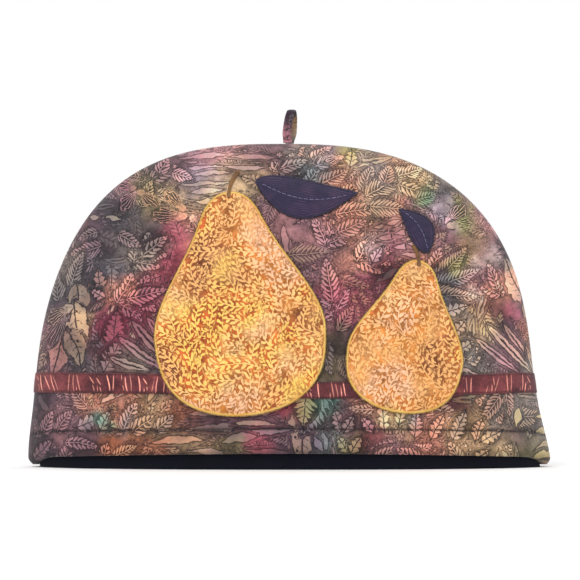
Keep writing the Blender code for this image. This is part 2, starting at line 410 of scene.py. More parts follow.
class Print:
    def __init__(self, u, v, own_ground=BATIK_GROUND):
        self.u, self.v, self.own_ground = u, v, own_ground
        self.run = np.zeros((len(u), 3))
        self.form = np.tile([0, 1, FAR], (len(u), 1)).astype(float)
        self.tint = np.zeros((len(u), 3))
        self.strength = np.zeros(len(u))

    def dress(self, obj, dye, shade=1.0):
        """shade is the painted shade on each point, as in a stitched crease: 1 leaves its colour as
        it is, and less darkens it.
        """
        none = 0 * self.u
        carry(obj, "cloth", self.u, self.v, none)
        carry(obj, "run", self.run)
        carry(obj, "form", self.form)
        carry(obj, "tone", self.strength, shade + none, none)
        carry(obj, "tint", self.tint)
        carry(obj, "dye", dye)

    def near(self, foot, reach):
        """The points this near a foot, and where they lie from it."""
        du, dv = self.u - foot[0], self.v - foot[1]
        near = np.flatnonzero((np.abs(du) < reach) & (np.abs(dv) < reach))
        return near, du[near], dv[near]

    def claim(self, near, outside, values, kind, period, tint, strength):
        """Gives a figure its ground. outside is the distance from it in millimetres."""
        clear = self.own_ground - outside
        mine = clear > 0
        room = self.form[near, 2]
        self.form[near, 2] = np.where(mine, room, np.minimum(room, -clear))
        form = np.stack([CODES[kind] + 0 * clear, period + 0 * clear, clear], axis=-1)
        self.run[near[mine]] = np.stack(values, axis=-1)[mine]
        self.form[near[mine]] = form[mine]
        self.tint[near[mine]] = tint
        self.strength[near[mine]] = strength

    def lay(self, kind, foot, angle, length, half, bend, tint, fineness=1.0, strength=1.0):
        """A figure from its foot (u, v) outwards; angle 0 is to the right, 90 is up."""
        if kind == "spray":
            self.lay_spray(foot, angle, length, half, tint, fineness, strength)
            return
        period, slant, curve, early, blunt = KINDS[kind]
        near, du, dv = self.near(foot, length + half + 2 * self.own_ground)
        s, t = turned(du, dv, angle)
        share = np.clip(s / length, 0, 1)
        t = t - bend * length * 4 * share * (1 - share)
        room = np.sin(math.pi * share**early) ** blunt * half
        outside = np.maximum(np.abs(t) - room, np.maximum(-s, s - length))
        reach = np.minimum(np.abs(t) / np.maximum(room, 0.1), 1)
        back = slant * np.abs(t) * (SLANT_AT_STEM + curve * reach)
        leaflets = (s - back) / (period * fineness)
        if kind == "vine":
            leaflets = leaflets + 0.5 * (t > 0)
        if kind == "slotted":
            leaflets = share
        self.claim(near, outside, (leaflets, t, room), kind, period * fineness, tint, strength)

    def lay_wing(self, foot, angle, length, spread, lines, tint):
        """Lines that fan out from the foot, with a rim round them."""
        near, du, dv = self.near(foot, 1.1 * length + 2 * self.own_ground)
        r = np.hypot(du, dv)
        turn = math.radians(spread)
        phi = np.arctan2(dv, du) - math.radians(angle)
        phi = (phi + math.pi) % (2 * math.pi) - math.pi
        share = np.clip(phi / turn, -1, 1)
        scallop = 1 + WING_SCALLOP * np.cos(share * math.pi * WING_SCALLOPS)
        room = length * (1 - WING_CUT * np.abs(share) ** WING_EDGE) * scallop
        outside = np.maximum(r - room, (np.abs(phi) - turn) * np.minimum(r, length))
        period = np.maximum(r * 2 * turn / lines, 0.3)
        run = (phi / (2 * turn) * lines, r, room)
        self.claim(near, outside, run, "winged", period, tint, 1.0)

    def lay_spray(self, foot, angle, length, half, tint, fineness=1.0, strength=1.0):
        """Fronds in pairs along a stem, and one at its end."""
        for n in range(FRONDS):
            share = FROND_FROM + FROND_OVER * n / FRONDS
            at = ahead_of(foot, angle, share * length)
            reach = length * (FROND_LENGTH - FROND_SHORTENING * share)
            spread = FROND_ANGLE - FROND_CLOSING * share
            for side in (-1, 1):
                away, bend = angle + side * spread, -FROND_BEND * side
                self.lay("fern", at, away, reach, half, bend, tint, fineness, strength)
        end, reach = ahead_of(foot, angle, END_FROM * length), (1 - END_FROM) * length
        self.lay("fern", end, angle, reach, half, 0, tint, fineness, strength)


def ahead_of(foot, angle, distance):
    turn = math.radians(angle)
    return foot[0] + distance * math.cos(turn), foot[1] + distance * math.sin(turn)


FASTNESS = 0.88  # how much of its colour each dye keeps beside the others
DYE_DEPTH = np.array([0.88, 0.82, 0.75])
# In millimetres: the sizes of the waves in which the dyes ran, and how far they ran
DYE_WAVE, RAN_ACROSS, RAN_UP = 30, 9, 8
DYE_RIPPLE, RAN_IN_RIPPLES = 8, 5
UNDYED = 0.05  # how much plum there is between the blots
DYE_PATCH, DYE_PATCH_LIGHT = 13, 0.64
DYE_SPECK, DYE_SPECK_LIGHT = 4, 0.3
DYE_WARM_PATCH, DYE_WARMTH = 18, 0.14


def dyed(u, v, blots, seed):
    """Blots (u, v, radius, colour) that ran into each other, as three numbers a point."""
    ran_u = u + RAN_ACROSS * clouds(u, v, DYE_WAVE, seed)
    ran_u = ran_u + RAN_IN_RIPPLES * clouds(u, v, DYE_RIPPLE, seed + 5)
    ran_v = v + RAN_UP * clouds(u, v, DYE_WAVE, seed + 10)
    ran_v = ran_v + RAN_IN_RIPPLES * clouds(u, v, DYE_RIPPLE, seed + 15)
    weight = np.full(len(u), UNDYED)
    total = weight[:, None] * DYES["plum"]
    for at_u, at_v, radius, colour in blots:
        share = bell(np.hypot(ran_u - at_u, ran_v - at_v), radius)
        weight = weight + share
        total = total + share[:, None] * colour
    colour = total / weight[:, None]
    light = 1 + DYE_PATCH_LIGHT * clouds(u, v, DYE_PATCH, seed + 20)
    light = light + DYE_SPECK_LIGHT * clouds(u, v, DYE_SPECK, seed + 25)
    warm = DYE_WARMTH * clouds(u, v, DYE_WARM_PATCH, seed + 30)
    colour = FASTNESS * colour + (1 - FASTNESS) * colour.mean(axis=1, keepdims=True)
    colour = colour * light[:, None] * np.stack([1 + warm, 1 + 0 * warm, 1 - warm], -1)
    return np.clip(colour * DYE_DEPTH, 0, 1)


# The batik of the front. Places are pixels of the photograph, x then y.

DYES = {
    "plum": linear("#5d4150"), "night": linear("#3b2a3a"), "mauve": linear("#8d6470"),
    "rose": linear("#a34c62"), "magenta": linear("#8f2b4c"), "pink": linear("#d0909a"),
    "salmon": linear("#c4806c"), "rust": linear("#a5603f"), "tan": linear("#ab8b68"),
    "sand": linear("#cbb089"), "cream": linear("#dccbb0"), "olive": linear("#6f6748"),
    "moss": linear("#949457"), "grey": linear("#7d7470"), "slate": linear("#524f58"),
    "steel": linear("#6f7c86"), "teal": linear("#43736e"), "green": linear("#56915f"),
    "lilac": linear("#9c889f"), "yellow": linear("#f6de86"), "wine": linear("#6b2c3b"),
    "pale": linear("#cbb2b0"),
}

# Blots of dye: x, y, radius in mm
BLOTS = {
    "mauve": (
        (48, 338, 11), (62, 392, 9), (62, 428, 10), (118, 190, 9), (185, 152, 15), (255, 150, 16),
        (270, 250, 20), (330, 250, 13), (388, 452, 9), (446, 236, 10), (482, 244, 10),
        (482, 276, 10), (484, 216, 7), (500, 350, 12),
    ),
    "pink": ((196, 240, 7), (215, 148, 12), (412, 234, 11), (486, 230, 6)),
    "slate": (
        (62, 300, 12), (86, 362, 11), (100, 262, 15), (108, 206, 10), (128, 226, 13),
        (165, 168, 11), (172, 362, 14), (414, 204, 5), (450, 288, 8), (454, 302, 8),
    ),
    "lilac": ((200, 178, 10), (322, 148, 9), (438, 206, 8)),
    "sand": ((222, 190, 12), (386, 416, 9), (402, 170, 11), (416, 178, 9), (498, 458, 9)),
    "tan": (
        (84, 318, 8), (152, 398, 11), (160, 424, 8), (172, 198, 12), (195, 444, 9), (245, 172, 12),
        (340, 160, 9), (372, 194, 11), (452, 424, 9), (466, 234, 8), (468, 450, 9), (470, 246, 9),
        (470, 330, 11), (474, 420, 10),
    ),
    "olive": (
        (150, 190, 13), (190, 318, 15), (232, 446, 8), (303, 404, 8), (325, 345, 12), (352, 446, 7),
        (528, 446, 11),
    ),
    "plum": (
        (45, 372, 10), (60, 312, 6), (84, 450, 10), (88, 238, 14), (208, 412, 12), (245, 404, 13),
        (290, 320, 20), (300, 446, 12), (345, 416, 10), (520, 433, 5), (524, 306, 7),
    ),
    "grey": (
        (72, 262, 10), (130, 368, 12), (140, 254, 10), (212, 300, 12), (300, 152, 9),
        (372, 168, 10), (428, 318, 8), (446, 196, 8), (456, 316, 7), (470, 360, 13), (500, 412, 10),
        (530, 352, 9), (530, 420, 12), (535, 388, 9),
    ),
    "rose": (
        (160, 285, 10), (178, 236, 10), (190, 268, 13), (230, 340, 20), (262, 440, 7),
        (345, 300, 13), (384, 246, 10), (506, 316, 6),
    ),
    "salmon": (
        (92, 396, 9), (118, 292, 7), (120, 400, 10), (130, 408, 9), (200, 226, 7), (205, 240, 12),
        (338, 182, 10), (350, 232, 12), (352, 260, 8), (368, 400, 9), (398, 164, 9), (398, 214, 10),
        (418, 256, 9), (428, 420, 9), (430, 452, 10), (488, 302, 11), (512, 286, 7),
    ),
    "magenta": ((112, 326, 11), (136, 312, 12), (170, 262, 8), (212, 258, 9), (286, 400, 7)),
    "wine": (
        (108, 352, 12), (146, 326, 9), (152, 340, 11), (370, 440, 7), (395, 276, 10), (450, 404, 8),
    ),
    # The night blot at (440, 350) is a painted shadow, the shadow of a label. The night blots at
    # the right shoulder, from x 506 to 524, are dark dye and also painted shade of the fold there.
    "night": (
        (40, 400, 11), (42, 447, 6), (42, 452, 12), (58, 350, 7), (72, 334, 8), (84, 270, 6),
        (92, 300, 6), (100, 345, 6), (103, 250, 6), (120, 210, 6), (150, 238, 7), (165, 215, 6),
        (187, 327, 7), (207, 403, 6), (288, 182, 6), (318, 205, 7), (322, 437, 6), (345, 340, 8),
        (410, 276, 7), (428, 280, 9), (440, 350, 6), (486, 282, 5), (500, 312, 7), (500, 330, 6),
        (506, 240, 11), (507, 256, 10), (524, 262, 6),
    ),
    "rust": ((118, 448, 9), (158, 448, 10), (182, 402, 11), (528, 336, 8)),
    "teal": ((106, 420, 7), (322, 402, 8)),
    "steel": ((134, 418, 6), (312, 172, 9), (332, 440, 8), (410, 404, 8)),
    "pale": (
        (312, 156, 7), (372, 180, 13), (372, 242, 8), (442, 208, 6), (474, 264, 6), (476, 298, 6),
        (492, 262, 6),
    ),
    "moss": ((348, 148, 8), (456, 264, 7), (458, 216, 6)),
    "green": ((404, 308, 7), (424, 196, 5)),
}

# Stamped figures: x, y, angle, length and half width in mm, dye, and any bend
FIGURES = (
    # Bark lines and small sprigs at the crown, left
    ("plain",
        (180, 158, 4, 34, 2, "mauve", 0.03), (176, 168, 3, 32, 1.8, "lilac", -0.02),
        (190, 175, 5, 26, 1.7, "grey", 0.03), (180, 184, 2, 30, 2, "grey", -0.03),
        (186, 193, 6, 24, 1.8, "lilac", 0.03), (190, 202, 4, 22, 1.8, "sand", -0.02),
        (228, 156, -3, 30, 1.8, "mauve", 0.03), (226, 166, -2, 24, 1.7, "lilac", -0.03),
    ),
    ("fern",
        (150, 180, 30, 22, 6, "mauve", 0.04), (158, 172, 62, 13, 5, "pink"),
        (142, 196, 8, 22, 6, "grey", -0.04), (140, 206, 68, 20, 6, "tan"),
        (172, 172, -20, 14, 5, "pink"),
    ),
    # Behind the left shoulder
    ("fern",
        (96, 232, 196, 15, 5, "grey"), (100, 246, 190, 24, 6, "mauve", 0.05),
        (92, 262, 200, 18, 6, "plum"), (118, 234, 330, 18, 5, "mauve"),
    ),
    ("plain", (98, 218, 168, 7, 1.6, "cream"), (107, 217, 350, 8, 1.8, "cream")),
    ("fern", (70, 286, 70, 24, 6, "grey", 0.03), (58, 300, 105, 20, 6, "grey")),
    # The tan leaf with dark veins, and the striped one beside it
    ("spotted",
        (76, 284, 272, 22, 8, "tan", 0.08), (74, 302, 286, 36, 9, "sand", -0.06),
        (62, 330, 256, 30, 8, "salmon", 0.05), (66, 330, 296, 26, 7, "tan", 0.1),
    ),
    ("ribbed",
        (112, 348, 84, 24, 8, "wine"), (104, 372, 62, 24, 7, "grey"),
        (100, 290, 100, 14, 5, "salmon"), (104, 298, 150, 11, 4, "pink"),
    ),
    # Split petals
    ("slotted",
        (178, 358, 128, 33, 2.8, "mauve", 0.02), (172, 364, 134, 38, 2.9, "grey", 0.02),
        (164, 369, 146, 36, 2.8, "mauve", 0.02), (150, 370, 163, 28, 2.5, "grey", 0.03),
        (148, 375, 180, 26, 2, "steel", 0.03),
    ),
    # The pale wing shape beside the large pear
    ("spotted", (226, 288, 176, 34, 9, "cream", -0.1)),
    ("plain", (210, 300, 305, 17, 6, "steel", 0.1), (232, 322, 252, 14, 4, "teal", 0.1)),
    # Between band and hem line, left
    ("plain", (100, 403, 24, 14, 1.9, "cream", 0.05), (118, 396, 30, 13, 1.6, "steel")),
    ("fern", (44, 432, 60, 16, 5, "mauve"), (58, 430, 48, 17, 5, "plum", 0.04)),
    ("ribbed", (100, 430, 60, 14, 5, "teal"), (110, 426, 30, 12, 4, "green")),
    ("fern",
        (124, 430, 62, 20, 5.5, "steel", 0.04), (132, 431, 30, 20, 5.5, "grey"),
        (156, 430, 40, 15, 5, "steel"),
    ),
    ("plain",
        (148, 402, 60, 16, 2.4, "tan", 0.04), (180, 404, 2, 30, 2, "steel", -0.05),
        (186, 414, 357, 38, 2.2, "grey", 0.05), (192, 422, 3, 38, 1.9, "mauve", -0.04),
        (184, 430, 1, 42, 2.2, "grey", 0.03), (232, 423, 355, 34, 1.9, "sand", 0.04),
        (236, 431, 2, 34, 1.9, "steel", -0.03), (228, 414, 4, 30, 1.6, "tan", -0.03),
    ),
    # Hem, left
    ("ribbed", (34, 460, 38, 22, 5, "mauve"), (44, 462, 8, 24, 4.5, "grey")),
    ("fern",
        (64, 460, 60, 12, 5, "mauve"), (66, 442, 352, 24, 4, "mauve", 0.05),
        (104, 456, 70, 9, 4, "salmon"), (114, 456, 24, 17, 4, "sand"),
    ),
    ("plain",
        (150, 443, 4, 34, 2.6, "salmon", 0.04), (190, 451, 352, 24, 2.2, "lilac", 0.05),
        (222, 442, 10, 22, 3, "grey", 0.05), (246, 450, 356, 26, 2, "night"),
    ),
    # The gap between the pears
    ("ribbed",
        (328, 388, 238, 34, 11, "steel", -0.04), (306, 388, 262, 24, 8, "moss"),
        (340, 432, 100, 15, 4.5, "mauve"), (344, 432, 60, 12, 4, "grey"),
    ),
    ("plain", (326, 451, 98, 12, 2.6, "steel"), (322, 451, 118, 11, 2.2, "lilac")),
    ("ribbed", (348, 453, 120, 13, 4, "moss"), (350, 453, 56, 13, 4, "tan")),
    ("fern",
        (318, 360, 96, 30, 6, "grey", 0.03), (332, 300, 100, 28, 6, "mauve"),
        (338, 330, 60, 18, 5, "olive"),
    ),
    # Above and below the hem line, right
    ("ribbed",
        (384, 430, 92, 20, 4.5, "mauve"), (372, 432, 124, 12, 3.6, "pink"),
        (414, 437, 82, 18, 5, "mauve"), (430, 438, 58, 18, 5, "salmon"),
        (452, 440, 62, 21, 5.5, "steel"), (474, 440, 66, 15, 5, "salmon"),
        (480, 441, 24, 17, 4.5, "tan"), (398, 424, 76, 12, 4, "grey"),
    ),
    ("fern",
        (372, 462, 30, 20, 5, "tan"), (394, 464, 26, 28, 6, "pink", 0.03),
        (424, 464, 150, 20, 6, "salmon"), (440, 464, 34, 22, 6, "pink"),
        (462, 464, 120, 17, 5, "mauve"),
    ),
    ("ribbed", (470, 462, 30, 15, 4, "tan")),
    ("plain", (498, 449, 318, 9, 1.6, "cream"), (497, 450, 262, 8, 1.4, "cream")),
    # Flames at the right edge
    ("plain",
        (515, 424, 74, 11, 2.8, "yellow"), (552, 414, 186, 15, 2, "yellow", 0.03),
        (553, 430, 184, 19, 2.3, "yellow", -0.03), (554, 442, 192, 22, 2.2, "sand", -0.04),
        (555, 453, 190, 26, 3.4, "yellow", -0.06), (554, 462, 184, 20, 2, "sand"),
    ),
    # Ferns at the crown, right
    ("fern",
        (306, 190, 62, 22, 5.5, "steel", 0.03), (320, 184, 30, 22, 6, "grey"),
        (316, 166, 30, 20, 5, "lilac"),
    ),
    ("ribbed", (350, 166, 80, 14, 5, "moss")),
    ("fern",
        (332, 206, 40, 26, 6.5, "tan", 0.03), (336, 214, 8, 30, 6.5, "salmon", 0.03),
        (362, 190, 66, 20, 6, "grey"), (366, 196, 28, 30, 7, "sand", 0.03),
        (370, 206, 356, 24, 6.5, "olive"), (386, 178, 20, 28, 7, "cream", -0.03),
        (384, 182, 68, 14, 5.5, "salmon"), (398, 184, 340, 22, 5.5, "sand"),
        (338, 232, 24, 20, 6, "mauve"), (416, 200, 20, 16, 5, "teal"),
    ),
    # Lances in the rose ground
    ("plain",
        (372, 228, 14, 11, 1.6, "olive"), (386, 224, 18, 10, 1.5, "wine"),
        (378, 238, 8, 12, 1.6, "plum"), (394, 234, 12, 12, 1.6, "slate"),
        (408, 231, 10, 12, 1.5, "slate"), (392, 247, 5, 13, 1.9, "steel"),
        (408, 244, 6, 13, 1.9, "slate"), (402, 254, 356, 12, 1.8, "steel"),
    ),
    ("ribbed", (372, 262, 60, 12, 4, "lilac")),
    # The dark fern, right
    ("fern",
        (424, 290, 96, 18, 6, "slate"), (426, 286, 70, 28, 6, "grey"),
        (428, 284, 44, 36, 6.5, "olive", -0.04), (430, 286, 20, 36, 6, "steel", -0.04),
        (428, 292, 356, 34, 6, "tan", -0.03), (420, 304, 8, 20, 5, "steel"),
    ),
    # Leaves beside the small pear
    ("ribbed",
        (447, 304, 176, 18, 5, "teal"), (440, 314, 18, 20, 5, "grey"),
        (452, 336, 50, 14, 4.5, "grey"), (456, 352, 30, 14, 4.5, "olive"),
    ),
    ("slotted",
        (542, 378, 134, 48, 2.6, "tan", 0.02), (532, 374, 140, 48, 2.6, "sand", 0.02),
        (518, 372, 146, 38, 2.4, "mauve", 0.02), (544, 392, 118, 34, 2.4, "tan"),
    ),
    ("spotted", (526, 302, 122, 34, 9, "cream", 0.08), (530, 322, 100, 20, 6, "sand", 0.05)),
    ("slotted", (494, 388, 150, 26, 2.4, "mauve", 0.02), (486, 384, 166, 24, 2.2, "tan", 0.02)),
)

# Fans of lines: x, y, angle, length in mm, spread in degrees, lines, dye
WINGS = (
    (136, 190, 228, 17, 34, 7, "pink"), (134, 188, 160, 12, 34, 6, "rose"),
    (137, 190, 318, 17, 26, 6, "salmon"), (186, 216, 176, 23, 26, 8, "salmon"),
    (184, 210, 132, 17, 26, 7, "rust"), (190, 216, 318, 17, 26, 5, "cream"),
    (70, 306, 236, 32, 22, 8, "grey"), (72, 306, 206, 22, 24, 7, "sand"),
    (446, 224, 44, 20, 30, 8, "pink"), (447, 226, 12, 18, 22, 7, "moss"),
    (342, 156, 200, 12, 30, 6, "pink"),
)

# Sprays: x, y, angle, length and half width in mm, dye
SPRAYS = (
    (128, 266, 38, 32, 5, "grey"), (110, 304, 14, 38, 5.4, "mauve"),
    (322, 250, 64, 36, 4.8, "mauve"), (336, 322, 112, 34, 5, "steel"),
    (268, 172, 20, 28, 4.6, "grey"), (352, 262, 20, 30, 4.8, "salmon"),
    (66, 262, 60, 26, 4.4, "grey"), (500, 300, 110, 26, 4.4, "mauve"),
    (462, 372, 80, 24, 4.4, "tan"), (330, 216, 350, 30, 4.6, "tan"),
)

# Places with few figures: x, y, radius in mm
CALM = (
    (190, 250, 17), (192, 292, 10), (484, 250, 15), (496, 284, 11), (470, 316, 7), (446, 206, 8),
    (88, 240, 8), (150, 310, 8), (330, 262, 7),
)

STRENGTH, STRENGTHS = 0.95, {"plain": 0.7, "spotted": 0.8}  # of the stamped figures
FAINT_FROM_X, FAINT_TO_Y, FAINT = 300, 240, 0.85  # they are fainter at the crown, right
PALER_RIGHT, PALER_FROM, PALER_OVER = 0.16, 55, 50  # the cotton is paler there, from this u in mm
SCATTER_KINDS = ("fern", "spray", "ribbed", "fern", "plain", "spray", "slotted", "ribbed")
SCATTER_SPACING, SCATTER_LIGHTNESS, SCATTER_STRENGTH = 14, (1.3, 2.0), 0.7
SCATTER_LENGTH, SCATTER_HALF, SCATTER_SLIM = (1.0, 1.9), (4, 6), 0.45
SCATTER_GLOW, SCATTER_FADE, SCATTER_BEND, SCATTER_FINENESS = 0.03, (0.45, 1), 0.1, (0.65, 1.0)
SPRAY_LONGER, SPRAY_SLIMMER = 1.3, 0.8
CALMED = 0.85  # how much fainter scattered figures are in the calm places


def scatter(cloth_print, dye, seed, calm=(), spacing=SCATTER_SPACING, lightness=SCATTER_LIGHTNESS):
    """Figures all over the ground, in shades of the dye where they stand."""
    random = np.random.default_rng(seed)
    u, v = cloth_print.u, cloth_print.v
    for foot in uneven_grid((u.min(), u.max()), (0, v.max()), spacing, random):
        kind = SCATTER_KINDS[random.integers(len(SCATTER_KINDS))]
        here = dye[np.argmin(np.hypot(u - foot[0], v - foot[1]))]
        pale = here * 0.75 + 0.25 * here.mean()
        tint = np.clip(pale * random.uniform(*lightness) + SCATTER_GLOW, 0, 1)
        length, half = random.uniform(*SCATTER_LENGTH) * spacing, random.uniform(*SCATTER_HALF)
        half = half * SCATTER_SLIM if kind in ("plain", "slotted") else half
        angle, bend = random.uniform(0, 360), random.uniform(-SCATTER_BEND, SCATTER_BEND)
        strength = SCATTER_STRENGTH * random.uniform(*SCATTER_FADE)
        middle = ahead_of(foot, angle, 0.5 * length)
        for calm_u, calm_v, radius in calm:
            strength *= 1 - CALMED * bell(math.dist(middle, (calm_u, calm_v)), radius)
        fineness = random.uniform(*SCATTER_FINENESS)
        if kind == "spray":
            length, half = SPRAY_LONGER * length, SPRAY_SLIMMER * half
        cloth_print.lay(kind, foot, angle, length, half, bend, tint, fineness, strength)


# Figures strewn over a panel: kind, how many, length and half width in mm
STREWN = (
    ("fern", 26, 30, 6.5), ("ribbed", 18, 20, 5.5), ("slotted", 12, 36, 2.9),
    ("spotted", 5, 30, 8), ("plain", 14, 16, 2.2), ("spray", 22, 32, 5),
)
STREWN_FROM, STREWN_TO = (-185, 5), (185, 215)
STREWN_SIZE, STREWN_BEND, STREWN_STRENGTH = (0.75, 1.25), 0.08, (0.35, 0.9)
FINENESS = (0.7, 1.0)
STREWN_DYES = (
    "mauve", "pink", "salmon", "tan", "sand", "cream", "moss", "grey", "steel", "teal", "lilac",
)


def one_of(names, random):
    return DYES[names[random.integers(len(names))]]


def strew(cloth_print, seed, calm=()):
    """Figures of every kind and dye, as the stamps fell."""
    random = np.random.default_rng(seed)
    for kind, count, length, half in STREWN:
        for _ in range(count):
            foot = random.uniform(STREWN_FROM, STREWN_TO)
            size, angle = random.uniform(*STREWN_SIZE), random.uniform(0, 360)
            bend, tint = random.uniform(-STREWN_BEND, STREWN_BEND), one_of(STREWN_DYES, random)
            fineness, strength = random.uniform(*FINENESS), random.uniform(*STREWN_STRENGTH)
            middle = ahead_of(foot, angle, 0.5 * length * size)
            if any(math.dist(middle, at[:2]) < at[2] for at in calm):
                continue
            wide = half if kind == "spray" else half * size**0.5
            cloth_print.lay(kind, foot, angle, length * size, wide, bend, tint, fineness, strength)


# What each random pattern starts from
FRONT_SEEDS = {"dye": 3, "scattered": 11, "strewn": 41, "stamped": 12}
BACK_SEEDS = {"dye": 43, "scattered": 31, "strewn": 47, "blots": 29}


def front_batik(u, v):
    blots = []
    for name, places in BLOTS.items():
        blots += [(*from_photo(x, y), radius, DYES[name]) for x, y, radius in places]
    calm = [(*from_photo(x, y), radius) for x, y, radius in CALM]
    dye = dyed(u, v, blots, FRONT_SEEDS["dye"])
    dye = dye * (1 + PALER_RIGHT * smooth_step((u - PALER_FROM) / PALER_OVER))[:, None]
    batik = Print(u, v)
    scatter(batik, dye, FRONT_SEEDS["scattered"], calm)
    strew(batik, FRONT_SEEDS["strewn"], calm)
    for x, y, angle, length, half, name in SPRAYS:
        batik.lay_spray(from_photo(x, y), angle, length, half, DYES[name])
    random = np.random.default_rng(FRONT_SEEDS["stamped"])
    for kind, *rows in FIGURES:
        for x, y, angle, length, half, name, *bend in rows:
            fineness, strength = random.uniform(*FINENESS), STRENGTHS.get(kind, STRENGTH)
            if x > FAINT_FROM_X and y < FAINT_TO_Y:
                strength = strength * FAINT
            at, bend = from_photo(x, y), sum(bend)
            batik.lay(kind, at, angle, length, half, bend, DYES[name], fineness, strength)
    for x, y, angle, length, spread, lines, name in WINGS:
        batik.lay_wing(from_photo(x, y), angle, length, spread, lines, DYES[name])
    batik.tint = run_in(batik.tint, dye)
    return batik, dye


# How much lighter the dye is under the wax, and how far it runs into a figure
WAXED, WAX_GLOW, RUN_IN = np.array([2.4, 2.2, 1.98]), 0.05, 0.6


def run_in(tint, dye):
    """A figure's tint as the dyes that ran over it left it."""
    lighter = np.clip(dye * WAXED + WAX_GLOW, 0, 1)
    return tint * (1 - RUN_IN) + lighter * RUN_IN


BACK_DYES = (
    "plum", "plum", "night", "mauve", "mauve", "rose", "magenta", "pink", "salmon", "rust", "tan",
    "olive", "moss", "grey", "slate", "slate", "steel", "teal", "lilac",
)
BACK_ACROSS, BACK_UP = (-190, 170), (0, 210)
BACK_SPACING, BACK_UNEVEN, BACK_RADIUS = 21, 9 / 21, (8, 15)
# Wings in pairs: length in mm, spread, lines; how many pairs, how far they turn apart, where
WING_PAIR, WING_PAIRS, WINGS_APART = ((19, 28, 8), (16, 26, 7)), 9, 64
WINGS_FROM, WINGS_TO = (-170, 20), (170, 200)


def back_batik(u, v):
    """The same cotton, cut from another place."""
    random = np.random.default_rng(BACK_SEEDS["blots"])
    blots = []
    for at in uneven_grid(BACK_ACROSS, BACK_UP, BACK_SPACING, random, BACK_UNEVEN):
        dye = one_of(BACK_DYES, random)
        blots.append((*at, random.uniform(*BACK_RADIUS), dye))
    dye = dyed(u, v, blots, BACK_SEEDS["dye"])
    batik = Print(u, v)
    scatter(batik, dye, BACK_SEEDS["scattered"])
    strew(batik, BACK_SEEDS["strewn"])
    for _ in range(WING_PAIRS):
        foot = random.uniform(WINGS_FROM, WINGS_TO)
        turn, tint = random.uniform(0, 360), one_of(STREWN_DYES, random)
        for n, wing in enumerate(WING_PAIR):
            batik.lay_wing(foot, turn + n * WINGS_APART, *wing, tint)
    batik.tint = run_in(batik.tint, dye)
    return batik, dye


# What the stuffing and the stitches do to the printed cotton's face.

STITCH_PITCH = 3.2 * MM
SWELL, SWELL_SIZE, SWELL_FROM = 0.7 * MM, 36.0, 30 * MM
HEM_WRINKLE, HEM_WRINKLE_SIZE, HEM_WRINKLE_REACH = 0.42 * MM, 6.0, 9 * MM
BAND_DIP, BAND_DIP_WIDTH = 0.4 * MM, 1.8 * MM
SEWN_REACH, SEWN_DIP, SEWN_DIP_WIDTH = 12 * MM, 0.7 * MM, 2.6 * MM
SEWN_WRINKLE, SEWN_WRINKLE_REACH, SEWN_WRINKLE_PITCH = 0.16 * MM, 6 * MM, 5.5 * MM
SEWN_WRINKLE_FROM, SEWN_WRINKLE_WANDER = 1.2 * MM, 9 * MM
OUTLINE_POINTS, OUTLINE_STEP = 480, 0.8 * MM
TUCK_WAVE, TUCK_WAVE_LENGTH, TUCK_FADE, TUCK_RIDGE = 2.5, 9, 0.35, 0.7
# Soft folds: x, y in the photograph, angle, length, width and depth in mm
TUCKS = (
    (226, 236, 8, 34, 3.2, 1.5),
    (222, 250, 352, 30, 3.0, 1.2),
    (130, 234, 24, 26, 3.0, 0.9),
    (480, 262, 14, 36, 3.0, 1.35),
    (470, 238, 330, 30, 3.2, 0.75),
    (44, 316, 300, 30, 3.4, 0.9),
    (330, 236, 30, 26, 3.2, 0.75),
)


def pear_width(s):
    """Half the width at this share of the length, as a share of the widest."""
    round_off = np.sqrt(np.maximum(1 - (2 * s - 1) ** 4, 0))
    slimming = smooth_step((s - PEAR_BELLY) / (PEAR_NECK_AT - PEAR_BELLY))
    return round_off * (1 - (1 - PEAR_NECK) * slimming)


def leaf_width(s):
    inside = np.clip(s, 0, 1)
    return np.maximum(np.sin(math.pi * inside**0.8), 0) ** 0.9


SHAPES = {name: (row, pear_width, 0) for name, row in PEARS.items()}
SHAPES.update({name: (row, leaf_width, LEAF_BEND) for name, row in LEAVES.items()})


def from_foot(row, along, lateral):
    """(x, z) this far up a sewn shape and to its right, in the front's plane."""
    foot_x, foot_z, _, _, tilt = row
    turn = math.radians(tilt)
    x = foot_x + along * math.sin(turn) + lateral * math.cos(turn)
    return x, foot_z + along * math.cos(turn) - lateral * math.sin(turn)


def on_shape(name, s, share):
    """(x, z) at these shares of a sewn shape's length and half width, and its flat place."""
    row, width_at, bend = SHAPES[name]
    length, half = row[2:4]
    lateral = share * half * width_at(s) + bend * length * np.sin(math.pi * s)
    return *from_foot(row, s * length, lateral), lateral, s * length


def shape_outline(name):
    """Points round a sewn shape, (x, z), evenly spaced."""
    angle = np.linspace(0, 2 * math.pi, OUTLINE_POINTS + 1)[:-1]
    side = np.sign(np.sin(angle) + 1e-12)
    x, z, _, _ = on_shape(name, (1 - np.cos(angle)) / 2, side)
    return evenly(np.stack([x, z], axis=-1), OUTLINE_STEP)


def evenly(line, spacing):
    """The same closed line with its points evenly spaced."""
    closed = np.concatenate([line, line[:1]])
    run = run_along(closed)
    at = np.linspace(0, run[-1], int(run[-1] / spacing) + 1)[:-1]
    return points_at(at, run, closed)


OUTLINES = {name: shape_outline(name) for name in SHAPES}


def from_outline(x, z, outline):
    """The distance to a closed line, and the run along it to the nearest point."""
    nearest = np.full(x.shape, np.inf)
    index = np.zeros(x.shape, int)
    for n, (at_x, at_z) in enumerate(outline):
        distance = (x - at_x) ** 2 + (z - at_z) ** 2
        closer = distance < nearest
        nearest = np.where(closer, distance, nearest)
        index = np.where(closer, n, index)
    step = np.linalg.norm(outline[1] - outline[0])
    return np.sqrt(nearest), index * step


